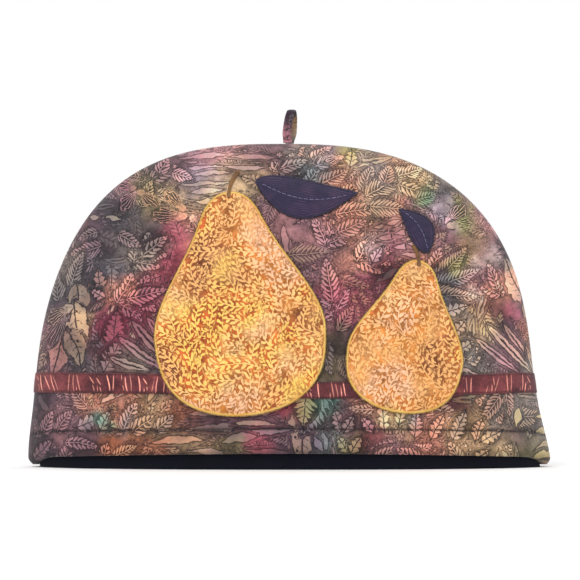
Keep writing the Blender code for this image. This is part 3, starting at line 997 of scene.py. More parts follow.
def sewn_relief(x, z):
    """The padding is drawn in along each sewn shape, with small puckers across the edge."""
    total = 0 * x
    x = x + drift(z)
    for outline in OUTLINES.values():
        low, high = outline.min(axis=0) - SEWN_REACH, outline.max(axis=0) + SEWN_REACH
        near = (x > low[0]) & (x < high[0]) & (z > low[1]) & (z < high[1])
        distance, run = from_outline(x[near], z[near], outline)
        dip = SEWN_DIP * bell(distance, SEWN_DIP_WIDTH)
        wander = 2 * np.sin(run / SEWN_WRINKLE_WANDER)
        wave = np.sin(2 * math.pi * run / SEWN_WRINKLE_PITCH + wander)
        reach = np.exp(-distance / SEWN_WRINKLE_REACH) * (1 - bell(distance, SEWN_WRINKLE_FROM))
        total[near] -= dip - SEWN_WRINKLE * wave * reach
    return total


def tucks(u, v):
    total = 0 * u
    for px, py, angle, length, width, depth in TUCKS:
        at_u, at_v = from_photo(px, py)
        s, t = turned(u - at_u, v - at_v, angle)
        t = t - TUCK_WAVE * np.sin(s / TUCK_WAVE_LENGTH)
        fade = smooth_step(np.minimum(s, length - s) / (TUCK_FADE * length))
        fold = bell(t, width) - TUCK_RIDGE * bell(t + 2 * width, width)
        total = total - depth * MM * fade * fold
    return total


HEM_SLACK, BAND_SLACK = 0.2, 0.25
RELIEF_SEEDS = {FRONT: 61, BACK: 71}


def stitched(u, slack):
    """The share of a crease's depth at each point. It is shallower between its stitches."""
    return 1 - slack + slack * np.cos(2 * math.pi * u * MM / STITCH_PITCH)


def relief(x, z, side=FRONT):
    """Everything that the printed cotton adds to the dome's depth."""
    x, z = np.broadcast_arrays(x, z)
    u, v = along_cloth(x, z, side)
    height, depth = height_of(x, z), half_depth(x, z)
    seed = RELIEF_SEEDS[side]
    inside = np.minimum(1, depth / (3 * WALL))
    swell = SWELL * clouds(u, v, SWELL_SIZE, seed, 2)
    total = humps(x, z) + swell * inside * smooth_step(height / SWELL_FROM)
    trough = HEM_LINE_DEPTH * bell(height - HEM_LINE, HEM_LINE_WIDTH)
    total = total - trough * stitched(u, HEM_SLACK) * np.minimum(1, depth / WALL)
    wrinkle = HEM_WRINKLE * clouds(u, 0.35 * v, HEM_WRINKLE_SIZE, seed + 3, 2)
    total = total + wrinkle * bell(height - HEM_LINE, HEM_WRINKLE_REACH) * inside
    if side == FRONT:
        for edge in (0, 1):
            dip = BAND_DIP * bell(z - band_level_over(x, z, edge), BAND_DIP_WIDTH)
            total = total - dip * stitched(u, BAND_SLACK) * inside
        total = total + (sewn_relief(x, z) + tucks(u, v)) * inside
    return total


# The panels.

CREASE_SHADE, CREASE_WIDTH = 0.55, 0.7 * MM  # painted shade in the stitched crease: how much darker it is
DUSK_SHADE, DUSK_WIDTH = 0.16, 2.4 * MM  # and the painted shade on the cotton beside it
ROLL_SHADE, ROLL_WIDTH = 0.3, 4 * MM  # and the painted shade where the hem rolls under


def panel_grid(columns, hem_rows, dome_rows):
    """The share across and the height of the hem's rows, and (a, b) of the dome's."""
    a = crowded(np.linspace(-1, 1, columns + 1))[None, :]
    heights = np.linspace(0, DOME_BASE, hem_rows + 1)[:, None]
    b = crowded(np.linspace(0, 1, dome_rows + 1))[1:, None]
    return a, heights, b


def close_on_seam(dome, side):
    """Sets the dome's outline on the seam."""
    dome[-1, :, 1] = dome[:, 0, 1] = dome[:, -1, 1] = side * SEAM_GAP / 2
    return dome


def printed_face(side):
    a, heights, b = panel_grid(COLUMNS, HEM_ROWS, DOME_ROWS)
    curl = HEM_CURL * np.maximum(1 - heights / HEM_CURL_HEIGHT, 0) ** 2
    z = level_at(a, heights)
    x = a * half_width(z, curl)
    hem = dome_points(x, z, curl, side, relief(x, z, side))
    over_x, over_z = over_the_dome(a, b, 0)
    dome = dome_points(over_x, over_z, 0, side, relief(over_x, over_z, side))
    flat = zip(along_cloth(x, z, side), along_cloth(over_x, over_z, side))
    return [np.concatenate(rows) for rows in [(hem, close_on_seam(dome, side)), *flat]]


def plain_face(inset, side, size, from_floor):
    a, heights, b = panel_grid(*size)
    z = heights + 0 * a if from_floor else level_at(a, heights)
    hem = dome_points(a * half_width(z, inset), z, inset, side)
    x, z = over_the_dome(a, b, inset)
    return np.concatenate([hem, close_on_seam(dome_points(x, z, inset, side), side)])


# Painted shade, as the share of the colour that is left: darker in the stitched crease of the hem,
# beside it, and where the hem rolls under.
def hem_shade(panel):
    flat = np.empty(len(panel.data.vertices) * 3)
    panel.data.vertices.foreach_get("co", flat)
    x, _, z = flat.reshape(-1, 3).T
    height = height_of(x - drift(z), z)
    from_line = height - HEM_LINE
    crease = CREASE_SHADE * bell(from_line, CREASE_WIDTH) + DUSK_SHADE * bell(from_line, DUSK_WIDTH)
    return 1 - crease - ROLL_SHADE * bell(height, ROLL_WIDTH)


def printed_panel(name, side, material):
    face, u, v = printed_face(side)
    size = (COLUMNS // FINE, HEM_ROWS // FINE, DOME_ROWS // FINE)
    back = plain_face(WALL, side, size, False)
    panel = closed_sheet(f"{name}_cotton", face, back, side == BACK)
    cloth_print, dye = (front_batik if side == FRONT else back_batik)(*face_and_back(u, v))
    cloth_print.dress(panel, dye, hem_shade(panel))
    finish_piece(panel, [f"{name}_panel"], material)


def lining_panel(name, side, material):
    size = (COLUMNS // 3, HEM_ROWS // 2, DOME_ROWS // 3)
    face = plain_face(WALL + CLEAR, side, size, True)
    back = plain_face(WALL + CLEAR + LINING, side, size, True)
    lining = closed_sheet(f"{name}_lining_cloth", face, back, side == BACK)
    finish_piece(lining, [f"{name}_lining"], material)


# What is sewn onto the front.

ROUNDED_EDGE = 1.1 * MM  # how far in from its edge a sheet keeps rounding
EDGE_SHARE = 0.45  # the sheet's thickness at its edge, as a share of the whole
PILLOW, PILLOW_REACH = 0.5 * MM, 9 * MM


def on_front(x, z, lift):
    """Points this far above the printed cotton. x is measured from the middle."""
    x, z = np.broadcast_arrays(x, z)
    return dome_points(x, z, 0, FRONT, relief(x, z) + lift)


def lift_over_band(x, z):
    distance = np.abs(z - band_level_over(x, z, 0.5))
    return NEXT_SHEET * smooth_step((CROSSING_ENDS - distance) / (CROSSING_ENDS - CROSSING))


def pillow(inwards):
    return PILLOW * (1 - np.exp(-inwards / PILLOW_REACH))


def sheet_top(inwards):
    """How high a sheet's face stands, from the distance to its edge."""
    rounded = np.sqrt(1 - (1 - np.clip(inwards / ROUNDED_EDGE, 0, 1)) ** 2)
    thick = SHEET * (EDGE_SHARE + (1 - EDGE_SHARE) * rounded)
    return UNDER + thick + pillow(inwards)


def sewn_sheet(name, material, grid, dress):
    columns, rows = grid
    a = np.linspace(-1, 1, columns + 1)[None, :]
    b = np.linspace(-1, 1, rows + 1)[:, None]
    p, q = disc_point(a, b)
    share = np.clip(p / np.sqrt(np.maximum(1 - q * q, 1e-9)), -1, 1)
    x, z, across, up = on_shape(name, (q + 1) / 2, share)
    inwards = from_outline(x, z, OUTLINES[name])[0]
    inwards[[0, -1]] = inwards[:, [0, -1]] = 0
    x = x - drift(z)
    over = lift_over_band(x, z) if name in PEARS else 0 * x
    face = on_front(x, z, over + sheet_top(inwards))
    back = on_front(x[COARSE], z[COARSE], over[COARSE] + UNDER)
    piece = closed_sheet(f"{name}_cloth", face, back)
    dress(piece, *face_and_back(across / MM, up / MM, inwards / MM))
    finish_piece(piece, [name], material)
    outline = OUTLINES[name]
    area = abs(float(signed_area(outline)))


def signed_area(outline):
    """Above zero where a closed line runs anticlockwise."""
    following = np.roll(outline, -1, axis=0)
    return 0.5 * np.sum(outline[:, 0] * following[:, 1] - outline[:, 1] * following[:, 0])


# The gold cotton: pale vines on an orange and brown ground that is paler in places.

GOLD_LIGHTS = ("#f2c764", "#eeb992", "#eaad6c")
GOLD_DARKS = ("#b85526", "#7f4529", "#c67a34")
# In millimetres
VINE_SPACING, VINE_LENGTH, VINE_HALF, VINE_MARGIN = 6.4, (16, 34), (2.9, 3.8), 4
SPRIG_SPACING, SPRIG_LENGTH, SPRIG_HALF, SPRIG_GROUND = 4.2, (6, 10), (2.2, 2.8), 0.4
VINE_TURN = 42  # degrees off the upright
VINE_OVERLAP = 0.75  # the share of a vine's length after which the next one starts
VINE_STAGGER, VINE_SHIFT, VINE_BEND = 20, 1.4, 0.28
SPRIG_FINENESS, VINE_FINENESS = 0.85, (0.85, 1.15)
# Patches of colour: base, strength, size in mm
GOLD_FIRST, GOLD_SECOND, GOLD_WASHED = (0.5, 1.5, 34), (0.2, 1.4, 22), (0.1, 2.2, 19)
GOLD_WASH, GOLD_MOTTLE, LIGHT_MOTTLED, DARK_MOTTLED = 0.5, 6, 0.2, 0.4
GOLD_SEED = 83


def blended(colours, first, second):
    """Three colours by two shares: the first two by one, and the third over them."""
    low, high, over = (linear(code) for code in colours)
    return (low * (1 - first) + high * first) * (1 - second) + over * second


def lay_vines(sprigs, random):
    """Short sprigs at every angle, then rows of vines that climb over them."""
    u, v = sprigs.u, sprigs.v
    across, up = (u.min() - VINE_MARGIN, u.max()), (v.min() - VINE_MARGIN, v.max())
    for foot in uneven_grid(across, up, SPRIG_SPACING, random):
        length, half = random.uniform(*SPRIG_LENGTH), random.uniform(*SPRIG_HALF)
        sprigs.lay("vine", foot, random.uniform(0, 360), length, half, 0, 0, SPRIG_FINENESS)
    for at_u in np.arange(across[0], across[1] + VINE_SPACING, VINE_SPACING):
        at_v = v.min() - random.uniform(0, VINE_STAGGER)
        while at_v < v.max():
            foot = (at_u + random.uniform(-VINE_SHIFT, VINE_SHIFT), at_v)
            length, half = random.uniform(*VINE_LENGTH), random.uniform(*VINE_HALF)
            angle, bend = random.normal(90, VINE_TURN), random.uniform(-VINE_BEND, VINE_BEND)
            fineness = random.uniform(*VINE_FINENESS)
            sprigs.lay("vine", foot, angle, length, half, bend, 0, fineness)
            at_v += VINE_OVERLAP * length


def dress_in_gold(piece, u, v, _):
    seed = GOLD_SEED + int(abs(u).max())
    first = patches(u, v, seed, *GOLD_FIRST)
    second = patches(u, v, seed + 4, *GOLD_SECOND)
    washed = GOLD_WASH * patches(u, v, seed + 12, *GOLD_WASHED)
    mottle = clouds(u, v, GOLD_MOTTLE, seed + 8)[:, None]
    light = blended(GOLD_LIGHTS, first, second) * (1 + LIGHT_MOTTLED * mottle)
    dark = blended(GOLD_DARKS, second, first) * (1 + DARK_MOTTLED * mottle)
    sprigs = Print(u, v, SPRIG_GROUND)
    lay_vines(sprigs, np.random.default_rng(seed))
    sprigs.tint = light
    sprigs.dress(piece, dark * (1 - washed) + light * washed)


def dress_in_navy(piece, u, v, inwards):
    carry(piece, "cloth", u, v, 0 * u)
    carry(piece, "run", inwards, 0 * u, 0 * u)


# The trim band.

TALLY_GROUPS, TALLY_GROUND, TALLY_DYE = 50, 0.9, "#ef9a88"
TALLY_GAP, TALLY_STEP, TALLY_HALF = (3.2, 8.5), (1.5, 2.7), (0.35, 0.55)  # mm
TALLY_STROKES, TALLY_FOOT, TALLY_LENGTH = (2, 6), (0.2, 2), (0.8, 1.0)  # at most five
TALLY_LEAN, TALLY_BEND, TALLY_TINT = 7, 0.04, (0.6, 1.25)
FORK_CHANCE, FORK_TURN, FORK_AT, FORK_LENGTH = 0.2, 24, 0.45, 0.5
BAND_DYE, BAND_DARK = "#77393c", "#55282f"
BAND_FOLD, BAND_FOLD_WIDTH, BAND_RIM = 1.2, 0.45, 0.5  # mm: where the painted shade of the fold along each edge lies, its width, and the width of the painted shade at the edge itself
FOLD_SHADE, RIM_SHADE = 0.5, 0.3
BAND_MOTTLE = (0.5, 0.9, 11)  # base, strength, size in mm
BAND_WAVER, BAND_WAVER_SIZE, BAND_HALF_RUN = 0.5 * MM, 23, 120
BAND_FLATTER = 0.3 * PILLOW
TALLY_SEED, WAVER_SEED, MOTTLE_SEED = 17, 51, 57
BAND_PRESSED = 0.25  # how thick the seams leave the band's ends, as a share


def tally_strokes(u, v, high):
    """Uneven upright strokes in groups of two to five."""
    random = np.random.default_rng(TALLY_SEED)
    strokes = Print(u, v, TALLY_GROUND)
    at = u.min() - 2
    for _ in range(TALLY_GROUPS):
        at += random.uniform(*TALLY_GAP)
        lean = random.normal(0, TALLY_LEAN)
        for _ in range(random.integers(*TALLY_STROKES)):
            at += random.uniform(*TALLY_STEP)
            foot = (at, random.uniform(*TALLY_FOOT))
            length = random.uniform(*TALLY_LENGTH) * (high - foot[1])
            angle = 90 + lean + random.normal(0, TALLY_LEAN)
            tint = linear(TALLY_DYE) * random.uniform(*TALLY_TINT)
            half, bend = random.uniform(*TALLY_HALF), random.uniform(-TALLY_BEND, TALLY_BEND)
            strokes.lay("stroke", foot, angle, length, half, bend, tint)
            if random.random() < FORK_CHANCE:
                fork = (foot[0], foot[1] + FORK_AT * length)
                angle = angle + random.choice([-FORK_TURN, FORK_TURN])
                strokes.lay("stroke", fork, angle, FORK_LENGTH * length, half, 0, tint)
    return strokes


def square_out(face, lift):
    """A grid of points moved this far out, square to their own surface."""
    out = unit(np.cross(np.gradient(face, axis=1), np.gradient(face, axis=0)))
    return face + lift[..., None] * out


def trim_band(material):
    """The band runs into both side seams, and lies thin where they hold it."""
    columns, rows = BAND_GRID
    a = crowded(np.linspace(-1, 1, columns + 1))[None, :] * BAND_END
    share = np.linspace(0, 1, rows + 1)[:, None]
    waver = clouds(a * BAND_HALF_RUN, 0 * a, BAND_WAVER_SIZE, WAVER_SEED, 2)
    z = band_level(a, share) + BAND_WAVER * waver
    x = a * half_width(z)
    inwards = np.minimum(share, 1 - share) * (band_level(a, 1) - band_level(a, 0))
    thin = BAND_PRESSED + (1 - BAND_PRESSED) * smooth_step(half_depth(x, z) / WALL)
    cotton = on_front(x, z, 0)
    face = square_out(cotton, (sheet_top(inwards) - BAND_FLATTER) * thin)
    band = closed_sheet("trim_band_cloth", face, square_out(cotton, UNDER * thin)[COARSE])
    high = (BAND_HIGH - BAND_LOW) / MM
    u, v = face_and_back(along_cloth(x, z)[0], share * high + 0 * x)
    mottle = patches(u, v, MOTTLE_SEED, *BAND_MOTTLE)
    dye = linear(BAND_DARK) * (1 - mottle) + linear(BAND_DYE) * mottle
    # Painted shade: a dark line along the fold of each edge, and darker again at the edge itself.
    from_edge = np.minimum(v, high - v)
    shade = 1 - FOLD_SHADE * bell(from_edge - BAND_FOLD, BAND_FOLD_WIDTH)
    shade = shade - RIM_SHADE * bell(from_edge, BAND_RIM)
    tally_strokes(u, v, high).dress(band, dye, shade)
    finish_piece(band, ["trim_band"], material)


# Threads: every stitch is a short tube of the thread's own thickness.

THREAD, THREAD_SIDES = 0.24 * MM, 5
THREAD_LEAN = (0.0, 0.31, 0.95)  # a direction that no thread runs along
ZIGZAG_SEED, ZIGZAG_UNEVEN = 5, 0.15  # mm
STITCH_POINTS, STITCH_SUNK = 5, 0.1 * MM
# Zigzags: pitch, reach inwards and outwards
PEAR_ZIGZAG, LEAF_ZIGZAG = (0.8 * MM, 1.6 * MM, 0.7 * MM), (1.0 * MM, 0.9 * MM, 0.6 * MM)
ZIGZAG_INSIDE, ZIGZAG_OUTSIDE, ZIGZAG_RISE = UNDER + SHEET * 0.85, 0.25 * MM, 0.25 * MM
# Stitched lines: length of a stitch, gap, rise
HEM_STITCH = (2.2 * MM, 1.0 * MM, 0.0)
BAND_STITCH = (1.5 * MM, 0.75 * MM, 0.2 * MM)
VEIN_STITCH = (2.6 * MM, 1.0 * MM, 0.25 * MM)
HEM_STITCHED, BAND_STITCHED = 0.985, 0.965  # the share of the half width that they reach
BAND_STITCH_AT = (0.07, 0.93)  # shares of the way up the band
VEIN_FROM, VEIN_TO = 0.06, 0.9
HEM_LIFT, VEIN_LIFT, BAND_LIFT = 0.22 * MM, 0.05 * MM, 0.95 * SHEET
# Satin-stitched stems: length, bend
STEMS = {"pear_large": (17 * MM, 0.22), "pear_small": (13 * MM, -0.2)}
STEM_WIDTH, STEM_PITCH, STEM_LIFT, STEM_ROUND = 2.6 * MM, 0.42 * MM, 0.35 * MM, 0.45 * MM
STEM_FROM_TOP, STEM_ON_PEAR, STEM_STEPS_DOWN = 3.5 * MM, 5.5 * MM, 1.7 * MM
STEM_SHARES = np.array([-1, -0.5, 0.5, 1])
SEAM_INSET, SEAM_RADIUS = 0.6 * MM, 0.22 * MM


def tube(centres, radius):
    """The rings of points of one tube along a line of points."""
    step = unit(np.gradient(centres, axis=0))
    side = unit(np.cross(step, THREAD_LEAN))
    out = np.cross(side, step)
    turn = np.linspace(0, 2 * math.pi, THREAD_SIDES + 1)[:-1, None]
    ring = side[:, None] * np.cos(turn) + out[:, None] * np.sin(turn)
    return (centres[:, None] + radius * ring).reshape(-1, 3)


def thread_piece(name, lines, radius, material):
    points, faces, start = [], [], 0
    for line in lines:
        points.append(tube(line, radius))
        for face in tube_faces(len(line), THREAD_SIDES):
            faces.append([start + index for index in face])
        start += len(points[-1])
    piece = mesh_object(name, np.concatenate(points), faces)
    finish_piece(piece, [], material)


def stitches_along(line, length, gap, rise):
    """Short arcs of thread along a line of points, each dipping at its ends."""
    run = run_along(line)
    found = []
    for start in np.arange(gap, run[-1] - length, length + gap):
        at = start + length * np.linspace(0, 1, STITCH_POINTS)
        points = points_at(at, run, line)
        points[:, 1] -= rise * np.sin(np.linspace(0, math.pi, STITCH_POINTS)) - STITCH_SUNK
        found.append(points)
    return found


def to_the_right(ahead):
    return np.stack([ahead[:, 1], -ahead[:, 0]], axis=-1)


def zigzag(name, pitch, inner, outer):
    """A dense zigzag across a sewn shape's edge, as one line of points."""
    line = evenly(OUTLINES[name], pitch / 2)
    ahead = unit(np.roll(line, -1, axis=0) - np.roll(line, 1, axis=0))
    outwards = to_the_right(ahead) * np.sign(signed_area(line))
    random = np.random.default_rng(ZIGZAG_SEED)
    uneven = random.uniform(-ZIGZAG_UNEVEN, ZIGZAG_UNEVEN, len(line)) * MM
    is_out = np.arange(len(line)) % 2 > 0
    ends = line + outwards * (np.where(is_out, outer, -inner) + uneven)[:, None]
    between = (ends + np.roll(ends, -1, axis=0)) / 2
    x, z = np.stack([ends, between], axis=1).reshape(-1, 2).T
    top = np.where(is_out, ZIGZAG_OUTSIDE, ZIGZAG_INSIDE)
    lift = np.stack([top, ZIGZAG_INSIDE + ZIGZAG_RISE + 0 * top], axis=1).ravel()
    x = x - drift(z)
    if name in PEARS:
        lift = lift + lift_over_band(x, z)
    return on_front(x, z, lift)


def sew_edges(names, gauge, radius, material):
    for name in names:
        thread_piece(f"{name}_edging", [zigzag(name, *gauge)], radius, material)


def sew_stems(material):
    """Satin stitches to and fro across each stem, from on its pear's top."""
    for name, (reach, bend) in STEMS.items():
        s = np.linspace(0, 1, int(reach / STEM_PITCH))
        along = PEARS[name][2] - STEM_FROM_TOP + s * reach
        middle = np.stack(from_foot(PEARS[name], along, bend * reach * s * s * 2), axis=-1)
        width = STEM_WIDTH / 2 * (0.75 + 0.5 * np.abs(s - 0.25))
        across = to_the_right(unit(np.gradient(middle, axis=0))) * width[:, None]
        fro = np.where(np.arange(len(s)) % 2, 1, -1)[:, None]
        ends = middle[:, None] + across[:, None] * (STEM_SHARES * fro)[..., None]
        x, z = ends.reshape(-1, 2).T
        on_pear = smooth_step((STEM_ON_PEAR - s * reach) / STEM_STEPS_DOWN)
        lift = STEM_LIFT + np.repeat(on_pear, len(STEM_SHARES)) * NEXT_SHEET
        lift = lift + STEM_ROUND * np.tile(1 - STEM_SHARES**2, len(s))
        line = on_front(x - drift(z), z, lift)
        thread_piece(f"{name}_stem", [line], THREAD * 1.1, material)


def sew_hem(name, side, material):
    a = crowded(np.linspace(-HEM_STITCHED, HEM_STITCHED, LINE_POINTS))
    z = level_at(a, HEM_LINE)
    x = a * half_width(z)
    line = dome_points(x, z, 0, side, relief(x, z, side) + HEM_LIFT)
    stitches = stitches_along(line, *HEM_STITCH)
    if side == BACK:
        stitches = [stitch + [0, STITCH_SUNK, 0] for stitch in stitches]
    thread_piece(f"{name}_hem_stitches", stitches, THREAD, material)


def sew_band(material):
    a = crowded(np.linspace(-BAND_STITCHED, BAND_STITCHED, LINE_POINTS))
    stitches = []
    for share in BAND_STITCH_AT:
        z = band_level(a, share)
        line = on_front(a * half_width(z), z, UNDER + BAND_LIFT)
        stitches += stitches_along(line, *BAND_STITCH)
    thread_piece("trim_band_stitches", stitches, THREAD * 0.9, material)


def sew_veins(material):
    """A line of stitches down the middle of each leaf."""
    s = np.linspace(VEIN_FROM, VEIN_TO, 200)
    for name, row in LEAVES.items():
        x, z, _, _ = on_shape(name, s, 0)
        line = on_front(x - drift(z), z, UNDER + SHEET + pillow(row[3]) + VEIN_LIFT)
        stitches = stitches_along(line, *VEIN_STITCH)
        thread_piece(f"{name}_vein", stitches, THREAD, material)


def sew_seam(material):
    """The thread that holds the two cottons together, in the seam between them."""
    x, z, _ = arch(SEAM_INSET)
    rise = np.linspace(HEM_CURL_HEIGHT, DOME_BASE, 50)[:-1]
    side = half_width(rise, SEAM_INSET)
    x, z = np.concatenate([side, x, -side[::-1]]), np.concatenate([rise, z, rise[::-1]])
    line = np.stack([x + drift(z), 0 * x, z], axis=-1)
    thread_piece("side_seam_thread", [line[::2]], SEAM_RADIUS, material)


# The hanging loop: a folded strip, round at its edges, from front foot to back foot.

LOOP_RINGS, LOOP_SIDES = 160, 28
LOOP_EDGE = 3.2  # how square the strip's section is
LOOP_CREASE, LOOP_CREASE_AT, LOOP_CREASE_WIDTH = 0.2, 0.72, 0.12
LOOP_BUNCHED, LOOP_ENDS = 0.06, 1e-4  # rings crowd towards the ends, which stay just open
LOOP_UNEVEN, LOOP_WAVES, LOOP_ROUND = 0.04, 9, 0.8
LOOP_RAN, LOOP_RIPPLE = 3, 6  # mm
LOOP_SHADE, LOOP_SPECKLED, LOOP_SPECK = 0.85, 0.35, 3
LOOP_SPACING, LOOP_LIGHTNESS = 9, (1.2, 1.7)
LOOP_SEEDS = {"ripple": 91, "speck": 95, "scattered": 7}
LOOP_DYES = {"pink": 0, "plum": 0.3, "night": 0.44, "slate": 0.54, "tan": 0.66, "grey": 1}


def loop_middle(b):
    """(y, z) along the middle of the cloth."""
    turn = math.pi * b
    z = LOOP_HEIGHT * np.sin(turn) ** LOOP_ROUND
    gap = LOOP_FOOT_GAP + (LOOP_HALF_GAP - LOOP_FOOT_GAP) * smooth_step(z / LOOP_EYE)
    return np.stack([-gap * np.cos(turn), z], axis=-1)


def squared_off(value):
    return np.copysign(np.abs(value) ** (2 / LOOP_EDGE), value)


def crown_loop(material):
    b = np.linspace(0, 1, LOOP_RINGS + 1)
    b = b + LOOP_BUNCHED * np.sin(2 * math.pi * b) / (2 * math.pi)
    middle = loop_middle(np.clip(b, LOOP_ENDS, 1 - LOOP_ENDS))
    ahead = unit(np.gradient(middle, axis=0))
    ahead[0], ahead[-1] = (0, 1), (0, -1)
    turn = np.linspace(0, 2 * math.pi, LOOP_SIDES + 1)[:-1]
    across, over = squared_off(np.cos(turn)), squared_off(np.sin(turn))
    crease = 1 - LOOP_CREASE * bell(np.abs(across) - LOOP_CREASE_AT, LOOP_CREASE_WIDTH)
    width = LOOP_WIDTH / 2 * (1 + LOOP_UNEVEN * np.sin(LOOP_WAVES * b))
    thick = LOOP_CLOTH / 2 * over * crease
    plane = middle[:, None] - to_the_right(ahead)[:, None] * thick[:, None]
    y, z = plane[..., 0], plane[..., 1]
    wide = across * width[:, None]
    x = LOOP_AT + wide + LOOP_CROSSING * middle[:, :1] + LOOP_TILT * z
    points = np.stack([x, y, HEIGHT + UNDER + z], axis=-1)
    faces = tube_faces(LOOP_RINGS + 1, LOOP_SIDES)
    loop = mesh_object("crown_loop_strip", points.reshape(-1, 3), faces)
    run = run_along(middle) / MM
    u, v = wide.ravel() / MM, (run[:, None] + 0 * x).ravel()
    stops = np.array(list(LOOP_DYES.values())) * run[-1]
    colours = [DYES[name] for name in LOOP_DYES]
    ran = v + LOOP_RAN * clouds(u, v, LOOP_RIPPLE, LOOP_SEEDS["ripple"])
    specks = clouds(u, v, LOOP_SPECK, LOOP_SEEDS["speck"])[:, None]
    dye = points_at(ran, stops, colours) * (LOOP_SHADE + LOOP_SPECKLED * specks)
    batik = Print(u, v)
    scatter(batik, dye, LOOP_SEEDS["scattered"], (), LOOP_SPACING, LOOP_LIGHTNESS)
    batik.dress(loop, dye)
    finish_piece(loop, ["crown_loop"], material)


# Materials are written as sums of wires: each is a node's output.


def add_node(tree, kind, inputs, **settings):
    """A shader node. Each input is joined to a wire or set to a number."""
    node = tree.nodes.new("ShaderNode" + kind)
    for name, value in settings.items():
        setattr(node, name, value)
    for place, value in inputs.items():
        if isinstance(value, Wire):
            tree.links.new(value.socket, node.inputs[place])
        else:
            node.inputs[place].default_value = value
    return node


class Wire:
    def __init__(self, socket):
        self.socket, self.tree = socket, socket.id_data

    def math(self, operation, *others):
        inputs = dict(enumerate((self, *others)))
        return Wire(add_node(self.tree, "Math", inputs, operation=operation).outputs[0])

    def __add__(self, other):
        return self.math("ADD", other)

    def __sub__(self, other):
        return self.math("SUBTRACT", other)

    def __mul__(self, other):
        return self.math("MULTIPLY", other)

    def __truediv__(self, other):
        return self.math("DIVIDE", other)

    def __rsub__(self, other):
        return (self * -1) + other

    __radd__, __rmul__ = __add__, __mul__

    def __abs__(self):
        return self.math("ABSOLUTE")

    def at_least(self, other):
        return self.math("MAXIMUM", other)

    def at_most(self, other):
        return self.math("MINIMUM", other)

    def rises(self, low, high):
        """From 0 at low to 1 at high, smoothly."""
        inputs = {"From Min": low, "From Max": high, "Value": self}
        node = add_node(self.tree, "MapRange", inputs, interpolation_type="SMOOTHSTEP")
        return Wire(node.outputs["Result"])

    def is_near(self, value):
        return self.math("COMPARE", value, 0.5)

    def parts(self):
        node = add_node(self.tree, "SeparateXYZ", {0: self})
        return [Wire(output) for output in node.outputs]


def carried(tree, name):
    return Wire(add_node(tree, "Attribute", {}, attribute_name=name).outputs["Vector"])


def own_place(tree):
    return Wire(add_node(tree, "TexCoord", {}).outputs["Object"])


def noise_node(place, size, detail, seed):
    inputs = {"Vector": place, "Scale": 1 / size, "Detail": detail, "W": seed}
    return add_node(place.tree, "TexNoise", inputs, noise_dimensions="4D")


def noise(place, size, detail=2, seed=0):
    """From 0 to 1; size is in the units of place."""
    return Wire(noise_node(place, size, detail, seed).outputs["Fac"])


def waver(place, size):
    """Three unlike noises from -1 to 1."""
    colour = Wire(noise_node(place, size, 2, 0).outputs["Color"])
    return [part * 4 - 2 for part in colour.parts()]


def cells(place, size, seed):
    """The distance to the nearest of many scattered points, in the units of place."""
    inputs = {"Vector": place, "Scale": 1 / size, "W": seed}
    node = add_node(place.tree, "TexVoronoi", inputs, voronoi_dimensions="4D")
    return Wire(node.outputs["Distance"]) * size


def mix(share, low, high):
    """A colour between two, each a wire or three numbers."""
    low, high = (ends if isinstance(ends, Wire) else (*ends, 1) for ends in (low, high))
    inputs = {0: share, 6: low, 7: high}  # the factor, and the two colours' own sockets
    return Wire(add_node(share.tree, "Mix", inputs, data_type="RGBA").outputs[2])


def scaled(colour, factor):
    """A colour made lighter or darker."""
    inputs = {0: colour, "Scale": factor}
    return Wire(add_node(colour.tree, "VectorMath", inputs, operation="SCALE").outputs[0])


def weave(place):
    """Plain weave, from 0 to 1: threads over and under each other."""
    across, up, _ = place.parts()
    turn = 2 * math.pi / WEAVE_PITCH
    return (across * turn).math("SINE") * (up * turn).math("SINE") * 0.5 + 0.5


def new_material(name, roughness, sheen=0.0, specular=0.3):
    material = bpy.data.materials.new(name)
    material.use_nodes = True
    surface = surface_of(material)
    surface["Roughness"].default_value = roughness
    surface["Specular IOR Level"].default_value = specular
    surface["Sheen Weight"].default_value = sheen
    surface["Sheen Roughness"].default_value = 0.5
    return material, material.node_tree


def surface_of(material):
    return material.node_tree.nodes["Principled BSDF"].inputs


def painted(material, colour, height, depth):
    """Its colour, and a height from 0 to 1 that bumps it this many metres deep."""
    bump = add_node(material.node_tree, "Bump", {"Distance": depth, "Height": height})
    links, surface = material.node_tree.links, surface_of(material)
    links.new(colour.socket, surface["Base Color"])
    links.new(bump.outputs["Normal"], surface["Normal"])
    return material


# The cloths.

WEAVE_PITCH = 0.55  # mm for two threads
WEAVE_DEPTH, LINING_DEPTH, TWIST_DEPTH = 0.05 * MM, 0.15 * MM, 0.1 * MM
LOBE_CUT = 0.55  # how deep a leaf's edge is cut, as a share of the half width
UNEVEN_SIZE = 4.5  # mm between the waverings of a hand-cut stamp
# In millimetres: lines left open, the slot of a petal as a share of its room, and dots
RIB_LINE, MIDRIB, DOTTED_MIDRIB, FAN_LINE, FAN_RIM = 0.22, 0.26, 0.45, 0.3, 0.4
SLOT, DOT_SPACING, DOT_RADIUS, BARK_SIZE, BARK_DEPTH = 0.24, 4.5, 0.95, 8, 3.2
OUTLINE_COLOUR = (0.018, 0.011, 0.016)
SPECK, PATCH, SLUB = 1.6, 7, 0.5  # mm: the sizes of a printed cloth's mottling
NAVY_LINES, NAVY_WANDER = 1.5, 5  # mm between the navy print's lines, and how far they wander
SOFT_IN, SOFT_OUT = 0.3, 0.12  # mm over which a line's dye begins, in and out from its edge
THREAD_COLOURS = {
    "gold thread": ("#e3a63c", "#ffe184", 0.5),
    "stem thread": ("#5f3c20", "#b07c3c", 0.5),
    "navy thread": ("#151124", "#3b3358", 0.4),
    "vein thread": ("#4d4670", "#8c82a8", 0.4),
    "hem thread": ("#1c1119", "#45303c", 0.3),
    "band thread": ("#2f0f18", "#6e3038", 0.3),
}


